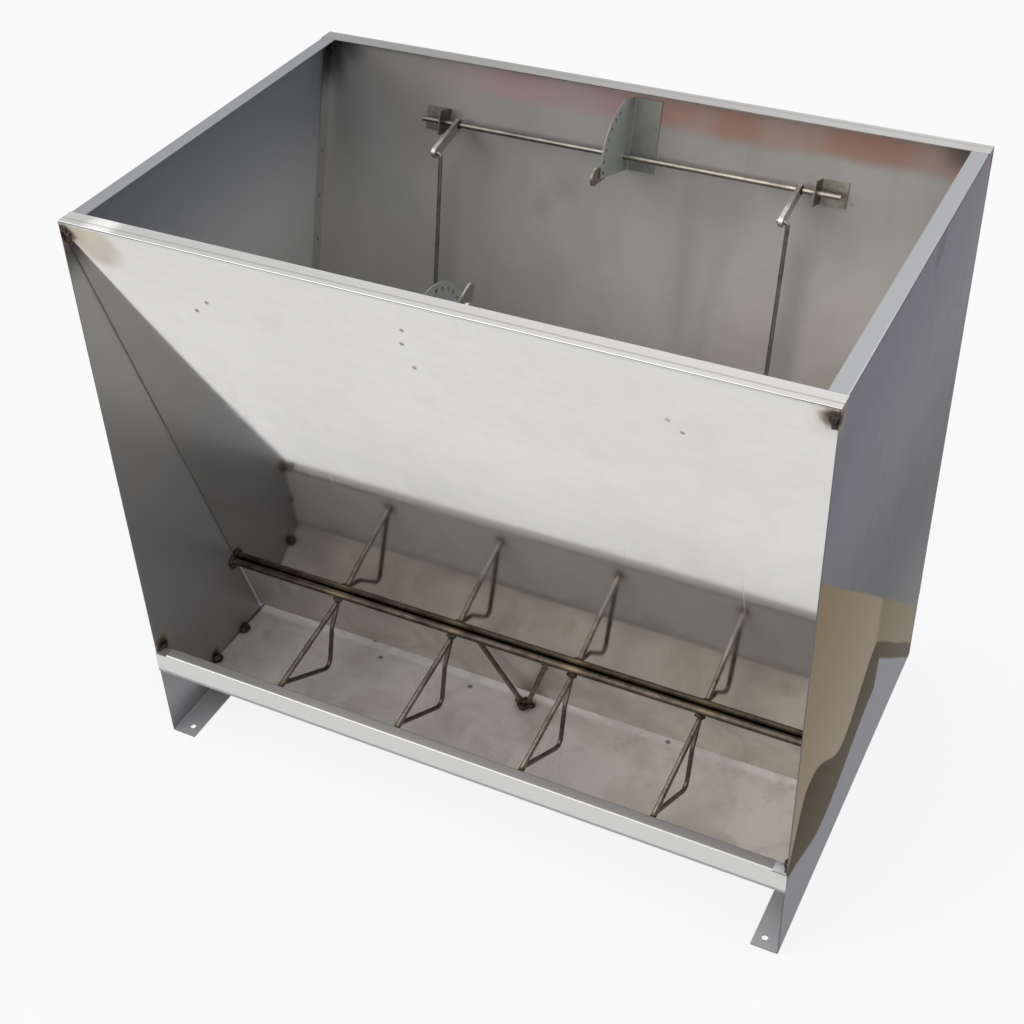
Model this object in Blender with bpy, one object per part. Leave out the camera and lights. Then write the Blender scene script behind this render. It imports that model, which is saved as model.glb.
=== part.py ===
"""Double-sided hopper feeder for livestock, folded from sheet steel with welded rods.

Units are metres. +Z is up, +X runs along the feeder and -Y is the front.
The back is the front turned half a turn about the vertical axis.
"""

import math

import bmesh
import bpy
from mathutils import Euler, Vector

# Overall size of the feeder, over the end panels, the trough lips and the rims.
LENGTH = 1.000
DEPTH = 0.650
HEIGHT = 0.900

# Sheet thickness, the centre line radius of its folds, and the gap at every welded or bearing joint.
SHEET = 0.0015
FOLD_RADIUS = 0.0024
GAP = 0.0003

# End panels: flange widths at the top and at the floor, and the anchor holes in the floor flange.
END_RIM_WIDTH = 0.023
FOOT_WIDTH = 0.040
FOOT_HOLE_RADIUS = 0.0045
FOOT_HOLE_INSET_X = 0.025
FOOT_HOLE_INSET_Y = 0.020

# Hopper panels: lean from the vertical, lower edge over the trough's lip, rim width and side flanges.
# Each side flange stands a step outside the sheet's cut edge and bites into the sheet.
SLOPE = math.radians(17.0)
PANEL_EDGE_ABOVE_LIP = 0.01203
PANEL_RIM_WIDTH = 0.028
SIDE_FLANGE_WIDTH = 0.020
SIDE_FLANGE_TOP = 0.012
SIDE_FLANGE_STEP = 0.0002
SIDE_FLANGE_BITE = 0.0009

# Trough: lip height and widths, floor level, and the front wall's lean from the floor.
# The middle ridge starts behind the closed gates and rises at its own lean.
LIP_TOP = 0.170
LIP_BOTTOM = 0.130
LIP_WIDTH = 0.017
LIP_RETURN = 0.010
LIP_NOTCH_LENGTH = 0.018
LIP_NOTCH_DEPTH = 0.0032
FLOOR_LEVEL = 0.045
WALL_LEAN = math.radians(60.0)
RIDGE_BEHIND_GATE = 0.02027
RIDGE_LEAN = math.radians(47.6)

# Guard bar along the lower edge of each hopper panel.
GUARD_BAR_RADIUS = 0.006
GUARD_BAR_ABOVE_EDGE = 0.0105

# Dividers: feeding spaces on each side, rod sizes, and the shape of the bent rod under each bar.
FEEDING_SPACES = 5
DIVIDER_RADIUS = 0.004
DIVIDER_TOP_OVERLAP = 0.0015
DIVIDER_LOW_BELOW_LIP = 0.021
LOOP_RADIUS = 0.0035
LOOP_TOP_INSET = 0.009
LOOP_LOW_INSET = 0.010
LOOP_KNEE_OUT = 0.033
LOOP_KNEE_DROP = 0.036
LOOP_TOE_OUT = 0.052
LOOP_TOE_DROP = 0.104
LOOP_BEND_RADIUS = 0.012

# Brace: a rod bent to a V, from the guard bar to the trough floor before the gate and back.
BRACE_RADIUS = 0.004
BRACE_HALF_ANGLE = math.radians(20.0)
BRACE_BEND_RADIUS = 0.008
BRACE_BEFORE_GATE = 0.01773

# Gate shaft: its place on the slope, its bearings and its size.
SHAFT_BELOW_RIM = 0.099
SHAFT_STANDOFF = 0.020
SHAFT_RADIUS = 0.004
SHAFT_HALF_LENGTH = 0.320
SHAFT_END_PAST_EAR = 0.034
BRACKET_SHEET = 0.002
BRACKET_EAR_X = SHAFT_HALF_LENGTH - SHAFT_END_PAST_EAR
BRACKET_BASE_LENGTH = 0.038
BRACKET_EAR_REACH = 0.034
BRACKET_HALF_HEIGHT = 0.0175

# Crank arms on the shaft: the crank angle is measured from the panel's normal at the lowest hole.
CRANK_BESIDE_EAR = 0.024
CRANK_X = BRACKET_EAR_X - CRANK_BESIDE_EAR
CRANK_THICKNESS = 0.006
CRANK_HALF_WIDTH = 0.008
CRANK_RADIUS = 0.072
CRANK_LOW_ANGLE = math.radians(-27.0)

# Quadrant plate with its row of lock holes, the first of which is the lowest.
QUADRANT_X = -0.003
QUADRANT_RADIUS = 0.082
QUADRANT_LOW = -0.021
QUADRANT_TOP = 0.080
QUADRANT_FLANGE_WIDTH = 0.041
LOCK_HOLE_CIRCLE = 0.073
LOCK_HOLE_FIRST_ANGLE = math.radians(-11.0)
LOCK_HOLE_STEP = math.radians(12.0)
LOCK_HOLE_COUNT = 7

# The hole that each lever stands at: the front lever is one hole above the back lever.
LEVER_HOLE_AT_REST = {"front": 1, "back": 0}

# Lever and its lock pin.
LEVER_THICKNESS = 0.003
LEVER_HALF_WIDTH = 0.011
LEVER_REACH = 0.107
LOCK_PIN_RADIUS = 0.002
LOCK_PIN_HEAD_RADIUS = 0.0055
LOCK_PIN_HEAD_LENGTH = 0.004
LOCK_PIN_STROKE = 0.004

# Gate plate, and the slotted lugs that the pull rods hold it by.
GATE_HEIGHT = 0.200
GATE_SIDE_CLEARANCE = 0.0007
GATE_FLOOR_CLEARANCE = 0.0018
LUG_THICKNESS = 0.003
LUG_REACH = 0.038
LUG_HALF_HEIGHT = 0.014
LUG_CORNER_RADIUS = 0.007
LUG_ABOVE_EDGE = 0.026
LUG_SLOT_LOW = 0.0133
LUG_SLOT_HIGH = 0.0285
LUG_SLOT_PLAY = 0.0023

# Pull rods: size, distance of the lower hook from the gate at rest, and the shape of the hooks.
PULL_ROD_RADIUS = 0.003
PULL_ROD_REST_REACH = 0.014
PULL_ROD_SIDE_OFFSET = -0.009
PULL_ROD_BEND_RADIUS = 0.006
PULL_ROD_TIP_OVERHANG = 0.004

# Facets of round pieces and of folds.
ROD_SIDES = 20
HOLE_SIDES = 24
BEND_STEPS = 5
SHARP_ANGLE = math.radians(35.0)

# Colour, roughness and metallic value of each kind of piece.
FINISHES = {
    "end_panel_steel": ((0.42, 0.43, 0.46), 0.32, 1.0),
    "hopper_panel_steel": ((0.66, 0.65, 0.62), 0.24, 1.0),
    "trough_steel": ((0.50, 0.48, 0.44), 0.42, 0.9),
    "gate_steel": ((0.50, 0.48, 0.43), 0.40, 0.9),
    "gate_lug_steel": ((0.44, 0.42, 0.38), 0.40, 1.0),
    "guard_bar_steel": ((0.30, 0.25, 0.21), 0.38, 0.9),
    "divider_steel": ((0.36, 0.34, 0.31), 0.36, 1.0),
    "divider_loop_steel": ((0.24, 0.22, 0.21), 0.38, 1.0),
    "brace_steel": ((0.22, 0.19, 0.17), 0.45, 0.9),
    "bracket_steel": ((0.50, 0.50, 0.46), 0.38, 1.0),
    "quadrant_steel": ((0.36, 0.39, 0.41), 0.36, 1.0),
    "shaft_steel": ((0.60, 0.59, 0.55), 0.28, 1.0),
    "crank_steel": ((0.62, 0.61, 0.57), 0.32, 1.0),
    "lever_steel": ((0.40, 0.33, 0.30), 0.42, 0.9),
    "lock_pin_steel": ((0.72, 0.71, 0.68), 0.26, 1.0),
    "pull_rod_steel": ((0.32, 0.33, 0.34), 0.34, 1.0),
}


def clear_scene():
    """Removes every object, so that the script can be run again in the same file."""
    for item in list(bpy.data.objects):
        bpy.data.objects.remove(item, do_unlink=True)


def make_materials():
    """Makes one Principled material for each kind of piece."""
    made = {}
    for name, (colour, roughness, metallic) in FINISHES.items():
        material = bpy.data.materials.new(name)
        material.use_nodes = True
        shader = material.node_tree.nodes["Principled BSDF"]
        shader.inputs["Base Color"].default_value = (*colour, 1.0)
        shader.inputs["Roughness"].default_value = roughness
        shader.inputs["Metallic"].default_value = metallic
        material.diffuse_color = (*colour, 1.0)
        made[name] = material
    return made


def add_object(name, shape, material=None, parent=None):
    """Turns a bmesh into a named object and gives it a material and a parent."""
    bmesh.ops.recalc_face_normals(shape, faces=shape.faces)
    mesh = bpy.data.meshes.new(name)
    shape.to_mesh(mesh)
    shape.free()
    item = bpy.data.objects.new(name, mesh)
    bpy.context.scene.collection.objects.link(item)
    item.parent = parent
    if material is not None:
        mesh.materials.append(material)
    return item


def add_empty(name, parent=None, location=(0.0, 0.0, 0.0), turn_x=0.0, turn_z=0.0):
    """Adds a placing frame."""
    frame = bpy.data.objects.new(name, None)
    bpy.context.scene.collection.objects.link(frame)
    frame.empty_display_size = 0.05
    frame.parent = parent
    frame.location = location
    frame.rotation_euler = (turn_x, 0.0, turn_z)
    return frame


def shade_round(item):
    """Shades round faces smooth and keeps the edges of the piece sharp."""
    for face in item.data.polygons:
        face.use_smooth = True
    item.data.set_sharp_from_angle(angle=SHARP_ANGLE)


def combine(item, tool, operation):
    """Applies a hidden tool shape to a piece with a Boolean modifier."""
    tool.display_type = "WIRE"
    tool.hide_render = True
    modifier = item.modifiers.new(operation.title(), "BOOLEAN")
    modifier.operation = operation
    modifier.solver = "EXACT"
    modifier.object = tool


def rounded_path(corners, radius):
    """Replaces the inner corners of a path with arcs."""
    path = [corners[0].copy()]
    for before, corner, after in zip(corners, corners[1:], corners[2:]):
        back = (before - corner).normalized()
        ahead = (after - corner).normalized()
        half = back.angle(ahead) / 2.0
        middle = corner + (back + ahead).normalized() * (radius / math.sin(half))
        start = corner + back * (radius / math.tan(half)) - middle
        end = corner + ahead * (radius / math.tan(half)) - middle
        sweep = start.angle(end)
        for step in range(BEND_STEPS + 1):
            part = step / BEND_STEPS
            weight_start = math.sin((1.0 - part) * sweep) / math.sin(sweep)
            weight_end = math.sin(part * sweep) / math.sin(sweep)
            path.append(middle + start * weight_start + end * weight_end)
    path.append(corners[-1].copy())
    return path


def headings(path):
    """Gives the direction of travel at each point of a path, and the cosine of half the turn there."""
    result = []
    for index in range(len(path)):
        before = path[max(index - 1, 0)]
        after = path[min(index + 1, len(path) - 1)]
        here = path[index]
        leaving = (after - here).normalized() if index < len(path) - 1 else None
        arriving = (here - before).normalized() if index > 0 else None
        if leaving is None:
            result.append((arriving, 1.0))
        elif arriving is None:
            result.append((leaving, 1.0))
        else:
            shared = (leaving + arriving).normalized()
            result.append((shared, shared.dot(leaving)))
    return result


def folded_sheet(corners, across, low, high, thickness=SHEET):
    """Builds a folded sheet from the centre line of its profile and its extent across it."""
    path = rounded_path(corners, FOLD_RADIUS)
    shape = bmesh.new()
    rows = []
    for point, (heading, cosine) in zip(path, headings(path)):
        normal = across.cross(heading).normalized() * (thickness / 2.0 / cosine)
        row = [point + normal + across * low, point + normal + across * high,
               point - normal + across * high, point - normal + across * low]
        rows.append([shape.verts.new(corner) for corner in row])
    for first, second in zip(rows, rows[1:]):
        for side in range(4):
            following = (side + 1) % 4
            shape.faces.new((first[side], first[following], second[following], second[side]))
    shape.faces.new(rows[0])
    shape.faces.new(list(reversed(rows[-1])))
    return shape


def box(low, high):
    """Builds a box between two corners."""
    shape = bmesh.new()
    add_box(shape, low, high)
    return shape


def add_box(shape, low, high):
    """Adds a box to a bmesh."""
    made = bmesh.ops.create_cube(shape, size=1.0)
    low = Vector(low)
    high = Vector(high)
    for vertex in made["verts"]:
        part = vertex.co + Vector((0.5, 0.5, 0.5))
        vertex.co = Vector([low[axis] + part[axis] * (high[axis] - low[axis]) for axis in range(3)])


def plate(outline, x_low, x_high):
    """Builds a flat plate from an outline of (y, z) points and its extent along X."""
    shape = bmesh.new()
    near = [shape.verts.new((x_low, y, z)) for y, z in outline]
    far = [shape.verts.new((x_high, y, z)) for y, z in outline]
    shape.faces.new(near)
    shape.faces.new(list(reversed(far)))
    for index in range(len(outline)):
        following = (index + 1) % len(outline)
        shape.faces.new((near[index], far[index], far[following], near[following]))
    return shape


def rounded_bar_outline(reach_low, reach_high, half_width):
    """Gives the outline of a flat bar along +Y whose two ends are half circles."""
    outline = []
    half_sides = HOLE_SIDES // 2
    for centre, start in ((reach_high, -90.0), (reach_low, 90.0)):
        for step in range(half_sides + 1):
            angle = math.radians(start + 180.0 * step / half_sides)
            outline.append((centre + half_width * math.cos(angle), half_width * math.sin(angle)))
    return outline


def circle_outline(y, z, radius):
    """Gives the outline of a round hole."""
    outline = []
    for step in range(HOLE_SIDES):
        angle = 2.0 * math.pi * (step + 0.5) / HOLE_SIDES
        outline.append((y + radius * math.cos(angle), z + radius * math.sin(angle)))
    return outline


def drill(item, name, outlines, x_low, x_high):
    """Cuts holes along X through a piece, one for each outline in its local frame."""
    tool_shape = bmesh.new()
    for outline in outlines:
        hole = plate(outline, x_low, x_high)
        hole_mesh = bpy.data.meshes.new(name)
        hole.to_mesh(hole_mesh)
        hole.free()
        tool_shape.from_mesh(hole_mesh)
        bpy.data.meshes.remove(hole_mesh)
    tool = add_object(name, tool_shape, parent=item)
    combine(item, tool, "DIFFERENCE")


def swept_rod(corners, radius, bend_radius=0.0, start_fit=None, end_fit=None):
    """Builds a round rod along a path; the fits trim its ends to the piece that they meet."""
    path = rounded_path(corners, bend_radius) if len(corners) > 2 else corners
    shape = bmesh.new()
    rings = []
    side = None
    for index, (point, (heading, _)) in enumerate(zip(path, headings(path))):
        if side is None:
            helper = Vector((1.0, 0.0, 0.0)) if abs(heading.x) < 0.9 else Vector((0.0, 0.0, 1.0))
            side = heading.cross(helper).normalized()
        side = (side - heading * side.dot(heading)).normalized()
        up = heading.cross(side)
        ring = []
        for step in range(ROD_SIDES):
            angle = 2.0 * math.pi * (step + 0.5) / ROD_SIDES
            place = point + (side * math.cos(angle) + up * math.sin(angle)) * radius
            if index == 0 and start_fit is not None:
                place = start_fit(place, heading)
            if index == len(path) - 1 and end_fit is not None:
                place = end_fit(place, heading)
            ring.append(shape.verts.new(place))
        rings.append(ring)
    for first, second in zip(rings, rings[1:]):
        for step in range(ROD_SIDES):
            following = (step + 1) % ROD_SIDES
            shape.faces.new((first[step], first[following], second[following], second[step]))
    close_rod_end(shape, rings[0], path[0], path[1] - path[0], start_fit)
    close_rod_end(shape, rings[-1], path[-1], path[-1] - path[-2], end_fit)
    return shape


def close_rod_end(shape, ring, centre, run, fit):
    """Closes a rod's end: flat when it has no fit, and otherwise curved after the piece it meets."""
    if fit is None:
        shape.faces.new(ring)
        return
    heading = run.normalized()
    inner = [shape.verts.new(fit(vertex.co.lerp(centre, 0.5), heading)) for vertex in ring]
    hub = shape.verts.new(fit(centre, heading))
    for step in range(len(ring)):
        following = (step + 1) % len(ring)
        shape.faces.new((ring[step], ring[following], inner[following], inner[step]))
        shape.faces.new((inner[step], inner[following], hub))


def trim_to_plane(plane_point, plane_normal):
    """Makes a fit that slides a rod's end along the rod to a plane."""
    def fit(place, heading):
        distance = (plane_point - place).dot(plane_normal) / heading.dot(plane_normal)
        return place + heading * distance
    return fit


def trim_to_rod(axis_point, axis_direction, reach, forward):
    """Makes a fit that slides a rod's end along the rod to the surface of another rod."""
    direction = axis_direction.normalized()

    def fit(place, heading):
        offset = place - axis_point
        flat_offset = offset - direction * offset.dot(direction)
        flat_heading = heading - direction * heading.dot(direction)
        a = flat_heading.length_squared
        b = flat_offset.dot(flat_heading)
        c = flat_offset.length_squared - reach * reach
        root = math.sqrt(max(b * b - a * c, 0.0))
        distance = (-b + root) / a if forward else (-b - root) / a
        return place + heading * distance
    return fit


def turned_pin(profile):
    """Builds a round piece along X from (x, radius) steps."""
    shape = bmesh.new()
    rings = []
    for x, radius in profile:
        ring = []
        for step in range(ROD_SIDES):
            angle = 2.0 * math.pi * (step + 0.5) / ROD_SIDES
            ring.append(shape.verts.new((x, radius * math.cos(angle), radius * math.sin(angle))))
        rings.append(ring)
    for first, second in zip(rings, rings[1:]):
        for step in range(ROD_SIDES):
            following = (step + 1) % ROD_SIDES
            shape.faces.new((first[step], first[following], second[following], second[step]))
    shape.faces.new(list(reversed(rings[0])))
    shape.faces.new(rings[-1])
    return shape


def slope_point(x, inward, down):
    """Gives a point of the front side from its distance inside the panel and down the slope."""
    y = -DEPTH / 2.0 + (SHEET + inward) * math.cos(SLOPE) + down * math.sin(SLOPE)
    z = HEIGHT + (SHEET + inward) * math.sin(SLOPE) - down * math.cos(SLOPE)
    return Vector((x, y, z))


def wall_centre_top():
    """Gives the upper end of the front trough wall's centre line."""
    return Vector((0.0, -DEPTH / 2.0 + LIP_WIDTH, LIP_TOP - SHEET / 2.0))


def panel_length():
    """Gives a hopper panel's length down the slope, to its lower edge just above the trough's lip."""
    edge_level = LIP_TOP + PANEL_EDGE_ABOVE_LIP
    return (HEIGHT + SHEET / 2.0 * math.sin(SLOPE) - edge_level) / math.cos(SLOPE)


def guard_bar_centre():
    """Gives the guard bar's axis point at the middle of the feeder."""
    return slope_point(0.0, -(SHEET + GAP + GUARD_BAR_RADIUS), panel_length() - GUARD_BAR_ABOVE_EDGE)


def closed_gate_down():
    """Gives the place of the closed gate's lower edge, down the slope from the rim."""
    clear_level = FLOOR_LEVEL + GATE_FLOOR_CLEARANCE
    return (HEIGHT + (SHEET + GAP) * math.sin(SLOPE) - clear_level) / math.cos(SLOPE)


def closed_gate_out():
    """Gives the distance of the closed gate's lower edge from the middle of the feeder."""
    return -slope_point(0.0, GAP, closed_gate_down()).y


def crank_angle(hole):
    """Gives the angle of the crank arms when the lever stands at a hole."""
    return CRANK_LOW_ANGLE + hole * LOCK_HOLE_STEP


def crank_pin(hole):
    """Gives the crank pin's distance from the panel and its place up the slope."""
    angle = crank_angle(hole)
    return SHAFT_STANDOFF + CRANK_RADIUS * math.cos(angle), CRANK_RADIUS * math.sin(angle)


def lug_pin(hole):
    """Gives the lower hook's place when the lever stands at a hole, with the pull rod's length."""
    reach = GAP + PULL_ROD_REST_REACH
    low_reach, low_place = crank_pin(0)
    closed = SHAFT_BELOW_RIM - closed_gate_down() + LUG_ABOVE_EDGE
    length = math.hypot(low_reach - reach, low_place - closed)
    pin_reach, pin_place = crank_pin(hole)
    return reach, pin_place - math.sqrt(length ** 2 - (pin_reach - reach) ** 2), length


def make_end_panel(name, side, material):
    """Makes one end panel: a sheet with its rim and its foot folded inwards."""
    outer = LENGTH / 2.0 - SHEET / 2.0
    corners = [
        Vector((side * (LENGTH / 2.0 - FOOT_WIDTH), 0.0, SHEET / 2.0)),
        Vector((side * outer, 0.0, SHEET / 2.0)),
        Vector((side * outer, 0.0, HEIGHT - SHEET / 2.0)),
        Vector((side * (LENGTH / 2.0 - END_RIM_WIDTH), 0.0, HEIGHT - SHEET / 2.0)),
    ]
    half_depth = DEPTH / 2.0 - SHEET - 2.0 * GAP
    panel = add_object(name, folded_sheet(corners, Vector((0.0, 1.0, 0.0)), -half_depth, half_depth), material)

    under_rim = HEIGHT - SHEET - GAP
    past_fold = LENGTH / 2.0 - 2.0 * END_RIM_WIDTH
    inner_face = LENGTH / 2.0 - SHEET
    corner_outline = [(LENGTH, under_rim), (LENGTH, HEIGHT + SHEET), (past_fold, HEIGHT + SHEET),
                      (past_fold, HEIGHT - FOLD_RADIUS), (inner_face, HEIGHT - FOLD_RADIUS), (inner_face, under_rim)]
    rim_end = DEPTH / 2.0 - PANEL_RIM_WIDTH - GAP
    for word, low, high in (("first", -DEPTH, -rim_end), ("second", rim_end, DEPTH)):
        corner_cut = add_object(name + "_corner_cut_" + word, plate(corner_outline, low, high))
        corner_cut.rotation_euler = (0.0, 0.0, -side * math.pi / 2.0)
        combine(panel, corner_cut, "DIFFERENCE")

    holes = bmesh.new()
    for end in (-1.0, 1.0):
        made = bmesh.ops.create_cone(holes, cap_ends=True, segments=HOLE_SIDES, radius1=FOOT_HOLE_RADIUS,
                                     radius2=FOOT_HOLE_RADIUS, depth=8.0 * SHEET)
        place = Vector((side * (LENGTH / 2.0 - FOOT_HOLE_INSET_X), end * (DEPTH / 2.0 - FOOT_HOLE_INSET_Y), 0.0))
        bmesh.ops.translate(holes, verts=made["verts"], vec=place)
    combine(panel, add_object(name + "_foot_holes", holes), "DIFFERENCE")
    shade_round(panel)


def make_hopper_panel(side_name, side_frame, material):
    """Makes one hopper panel: a sloping sheet with a rim on top and a flange at each end."""
    name = side_name + "_hopper_panel"
    rim_down = SHEET / 2.0 * (1.0 + math.sin(SLOPE)) / math.cos(SLOPE)
    corners = [
        Vector((0.0, -DEPTH / 2.0 + PANEL_RIM_WIDTH, HEIGHT - SHEET / 2.0)),
        slope_point(0.0, -SHEET / 2.0, rim_down),
        slope_point(0.0, -SHEET / 2.0, panel_length()),
    ]
    half_length = LENGTH / 2.0
    sheet = folded_sheet(corners, Vector((1.0, 0.0, 0.0)), -half_length, half_length)
    panel = add_object(name, sheet, material, side_frame)

    inner = half_length - SHEET - GAP
    end_cuts = bmesh.new()
    for end in (-1.0, 1.0):
        x_pair = sorted((end * (inner - SIDE_FLANGE_STEP), end * LENGTH))
        add_box(end_cuts, (x_pair[0], -DEPTH, 0.0), (x_pair[1], 0.0, HEIGHT - SHEET))
    combine(panel, add_object(name + "_end_cuts", end_cuts, parent=side_frame), "DIFFERENCE")

    flanges = bmesh.new()
    for end in (-1.0, 1.0):
        x_pair = sorted((end * (inner - SHEET), end * inner))
        add_box(flanges, (x_pair[0], -SIDE_FLANGE_BITE, SIDE_FLANGE_STEP - panel_length()),
                (x_pair[1], SIDE_FLANGE_WIDTH, -SIDE_FLANGE_TOP))
    flange_tool = add_object(name + "_side_flanges", flanges, parent=side_frame)
    flange_tool.location = slope_point(0.0, 0.0, 0.0)
    flange_tool.rotation_euler = (SLOPE, 0.0, 0.0)
    combine(panel, flange_tool, "UNION")
    shade_round(panel)


def make_trough(material):
    """Makes the double trough: two lips, two leaning walls, two floors and the middle ridge."""
    lip_y = DEPTH / 2.0 - SHEET / 2.0
    wall_top = wall_centre_top()
    floor_z = FLOOR_LEVEL - SHEET / 2.0
    foot_run = (wall_top.z - floor_z) / math.tan(WALL_LEAN)
    ridge_half_width = closed_gate_out() - RIDGE_BEHIND_GATE
    half = [
        (-lip_y + LIP_RETURN, LIP_BOTTOM + SHEET / 2.0),
        (-lip_y, LIP_BOTTOM + SHEET / 2.0),
        (-lip_y, LIP_TOP - SHEET / 2.0),
        (wall_top.y, wall_top.z),
        (wall_top.y + foot_run, floor_z),
        (-ridge_half_width, floor_z),
    ]
    corners = [Vector((0.0, y, z)) for y, z in half]
    corners.append(Vector((0.0, 0.0, floor_z + ridge_half_width * math.tan(RIDGE_LEAN))))
    corners.extend(Vector((0.0, -y, z)) for y, z in reversed(half))
    half_length = LENGTH / 2.0
    trough = add_object("trough", folded_sheet(corners, Vector((1.0, 0.0, 0.0)), -half_length, half_length), material)

    cuts = bmesh.new()
    inner = half_length - SHEET - GAP
    behind_face = DEPTH / 2.0 - SHEET - GAP
    for end in (-1.0, 1.0):
        x_pair = sorted((end * inner, end * LENGTH))
        add_box(cuts, (x_pair[0], -behind_face, 0.0), (x_pair[1], behind_face, LIP_TOP + SHEET))
    combine(trough, add_object("trough_end_cuts", cuts), "DIFFERENCE")

    notches = bmesh.new()
    for end in (-1.0, 1.0):
        x_pair = sorted((end * (inner - LIP_NOTCH_LENGTH), end * LENGTH))
        notch_low = LIP_TOP - LIP_NOTCH_DEPTH
        add_box(notches, (x_pair[0], -DEPTH, notch_low), (x_pair[1], DEPTH, LIP_TOP + 2.0 * SHEET))
    combine(trough, add_object("trough_lip_notches", notches), "DIFFERENCE")
    shade_round(trough)


def make_guard_bar(side_name, side_frame, material):
    """Makes the round bar along the lower edge of a hopper panel."""
    half_length = LENGTH / 2.0 - SHEET - GAP
    ends = [Vector((-half_length, 0.0, 0.0)), Vector((half_length, 0.0, 0.0))]
    bar = add_object(side_name + "_guard_bar", swept_rod(ends, GUARD_BAR_RADIUS), material, side_frame)
    bar.location = guard_bar_centre()
    shade_round(bar)


def make_dividers(side_name, side_frame, rod_material, loop_material):
    """Makes the dividers of one side, each a straight rod with a bent rod under it."""
    wall_normal = Vector((0.0, math.sin(WALL_LEAN), math.cos(WALL_LEAN)))
    down_wall = Vector((0.0, math.cos(WALL_LEAN), -math.sin(WALL_LEAN)))
    wall_face = wall_centre_top() + wall_normal * (SHEET / 2.0 + GAP)
    low = wall_face + down_wall * (DIVIDER_LOW_BELOW_LIP / math.sin(WALL_LEAN))

    to_bar = guard_bar_centre() - low
    under_bar = GUARD_BAR_RADIUS + GAP + DIVIDER_RADIUS
    rise = to_bar.normalized()
    rise.rotate(Euler((-math.asin(under_bar / to_bar.length), 0.0, 0.0)))
    reach = math.sqrt(to_bar.length_squared - under_bar ** 2) + DIVIDER_TOP_OVERLAP
    top = low + rise * reach

    straight = [Vector(), low - top]
    bent = [
        -rise * LOOP_TOP_INSET,
        Vector((0.0, -LOOP_KNEE_OUT, -LOOP_KNEE_DROP)),
        Vector((0.0, -LOOP_TOE_OUT, -LOOP_TOE_DROP)),
        rise * LOOP_LOW_INSET - rise * reach,
    ]
    to_wall = trim_to_plane(wall_face - top, wall_normal)
    off_rod = trim_to_rod(Vector(), rise, DIVIDER_RADIUS + GAP, forward=True)
    onto_rod = trim_to_rod(Vector(), rise, DIVIDER_RADIUS + GAP, forward=False)

    pitch = LENGTH / FEEDING_SPACES
    for number in range(1, FEEDING_SPACES):
        name = side_name + "_divider_" + str(number)
        rod_shape = swept_rod(straight, DIVIDER_RADIUS, end_fit=to_wall)
        loop_shape = swept_rod(bent, LOOP_RADIUS, LOOP_BEND_RADIUS, off_rod, onto_rod)
        for item in (add_object(name, rod_shape, rod_material, side_frame),
                     add_object(name + "_loop", loop_shape, loop_material, side_frame)):
            item.location = (number * pitch - LENGTH / 2.0, top.y, top.z)
            shade_round(item)


def make_brace(side_name, side_frame, material):
    """Makes the bent rod that holds the middle of a guard bar up from the trough floor."""
    bar = guard_bar_centre()
    foot_out = closed_gate_out() + BRACE_BEFORE_GATE
    foot = Vector((0.0, -foot_out, FLOOR_LEVEL + GAP + BRACE_RADIUS))
    corner_depth = BRACE_BEND_RADIUS * (1.0 / math.sin(BRACE_HALF_ANGLE) - 1.0)
    corner = (foot - bar).normalized() * ((foot - bar).length + corner_depth)
    spread = corner.length * math.tan(BRACE_HALF_ANGLE)
    ends = [Vector((-spread, 0.0, 0.0)), corner, Vector((spread, 0.0, 0.0))]
    bar_axis = Vector((1.0, 0.0, 0.0))
    off_bar = trim_to_rod(Vector(), bar_axis, GUARD_BAR_RADIUS + GAP, forward=True)
    onto_bar = trim_to_rod(Vector(), bar_axis, GUARD_BAR_RADIUS + GAP, forward=False)
    shape = swept_rod(ends, BRACE_RADIUS, BRACE_BEND_RADIUS, off_bar, onto_bar)
    brace = add_object(side_name + "_brace", shape, material, side_frame)
    brace.location = bar
    shade_round(brace)


def make_brackets(side_name, slope_frame, material):
    """Makes the two bearing brackets of a shaft, each folded from a base and an ear."""
    for word, side in (("left", -1.0), ("right", 1.0)):
        base_y = GAP + BRACKET_SHEET / 2.0
        corners = [
            Vector((side * BRACKET_BASE_LENGTH, base_y, 0.0)),
            Vector((0.0, base_y, 0.0)),
            Vector((0.0, BRACKET_EAR_REACH, 0.0)),
        ]
        shape = folded_sheet(corners, Vector((0.0, 0.0, 1.0)), -BRACKET_HALF_HEIGHT, BRACKET_HALF_HEIGHT,
                             BRACKET_SHEET)
        name = side_name + "_bracket_" + word
        bracket = add_object(name, shape, material, slope_frame)
        bracket.location = (side * BRACKET_EAR_X, 0.0, 0.0)
        hole = circle_outline(SHAFT_STANDOFF, 0.0, SHAFT_RADIUS + GAP)
        drill(bracket, name + "_hole", [hole], -2.0 * BRACKET_SHEET, 2.0 * BRACKET_SHEET)
        shade_round(bracket)


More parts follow.
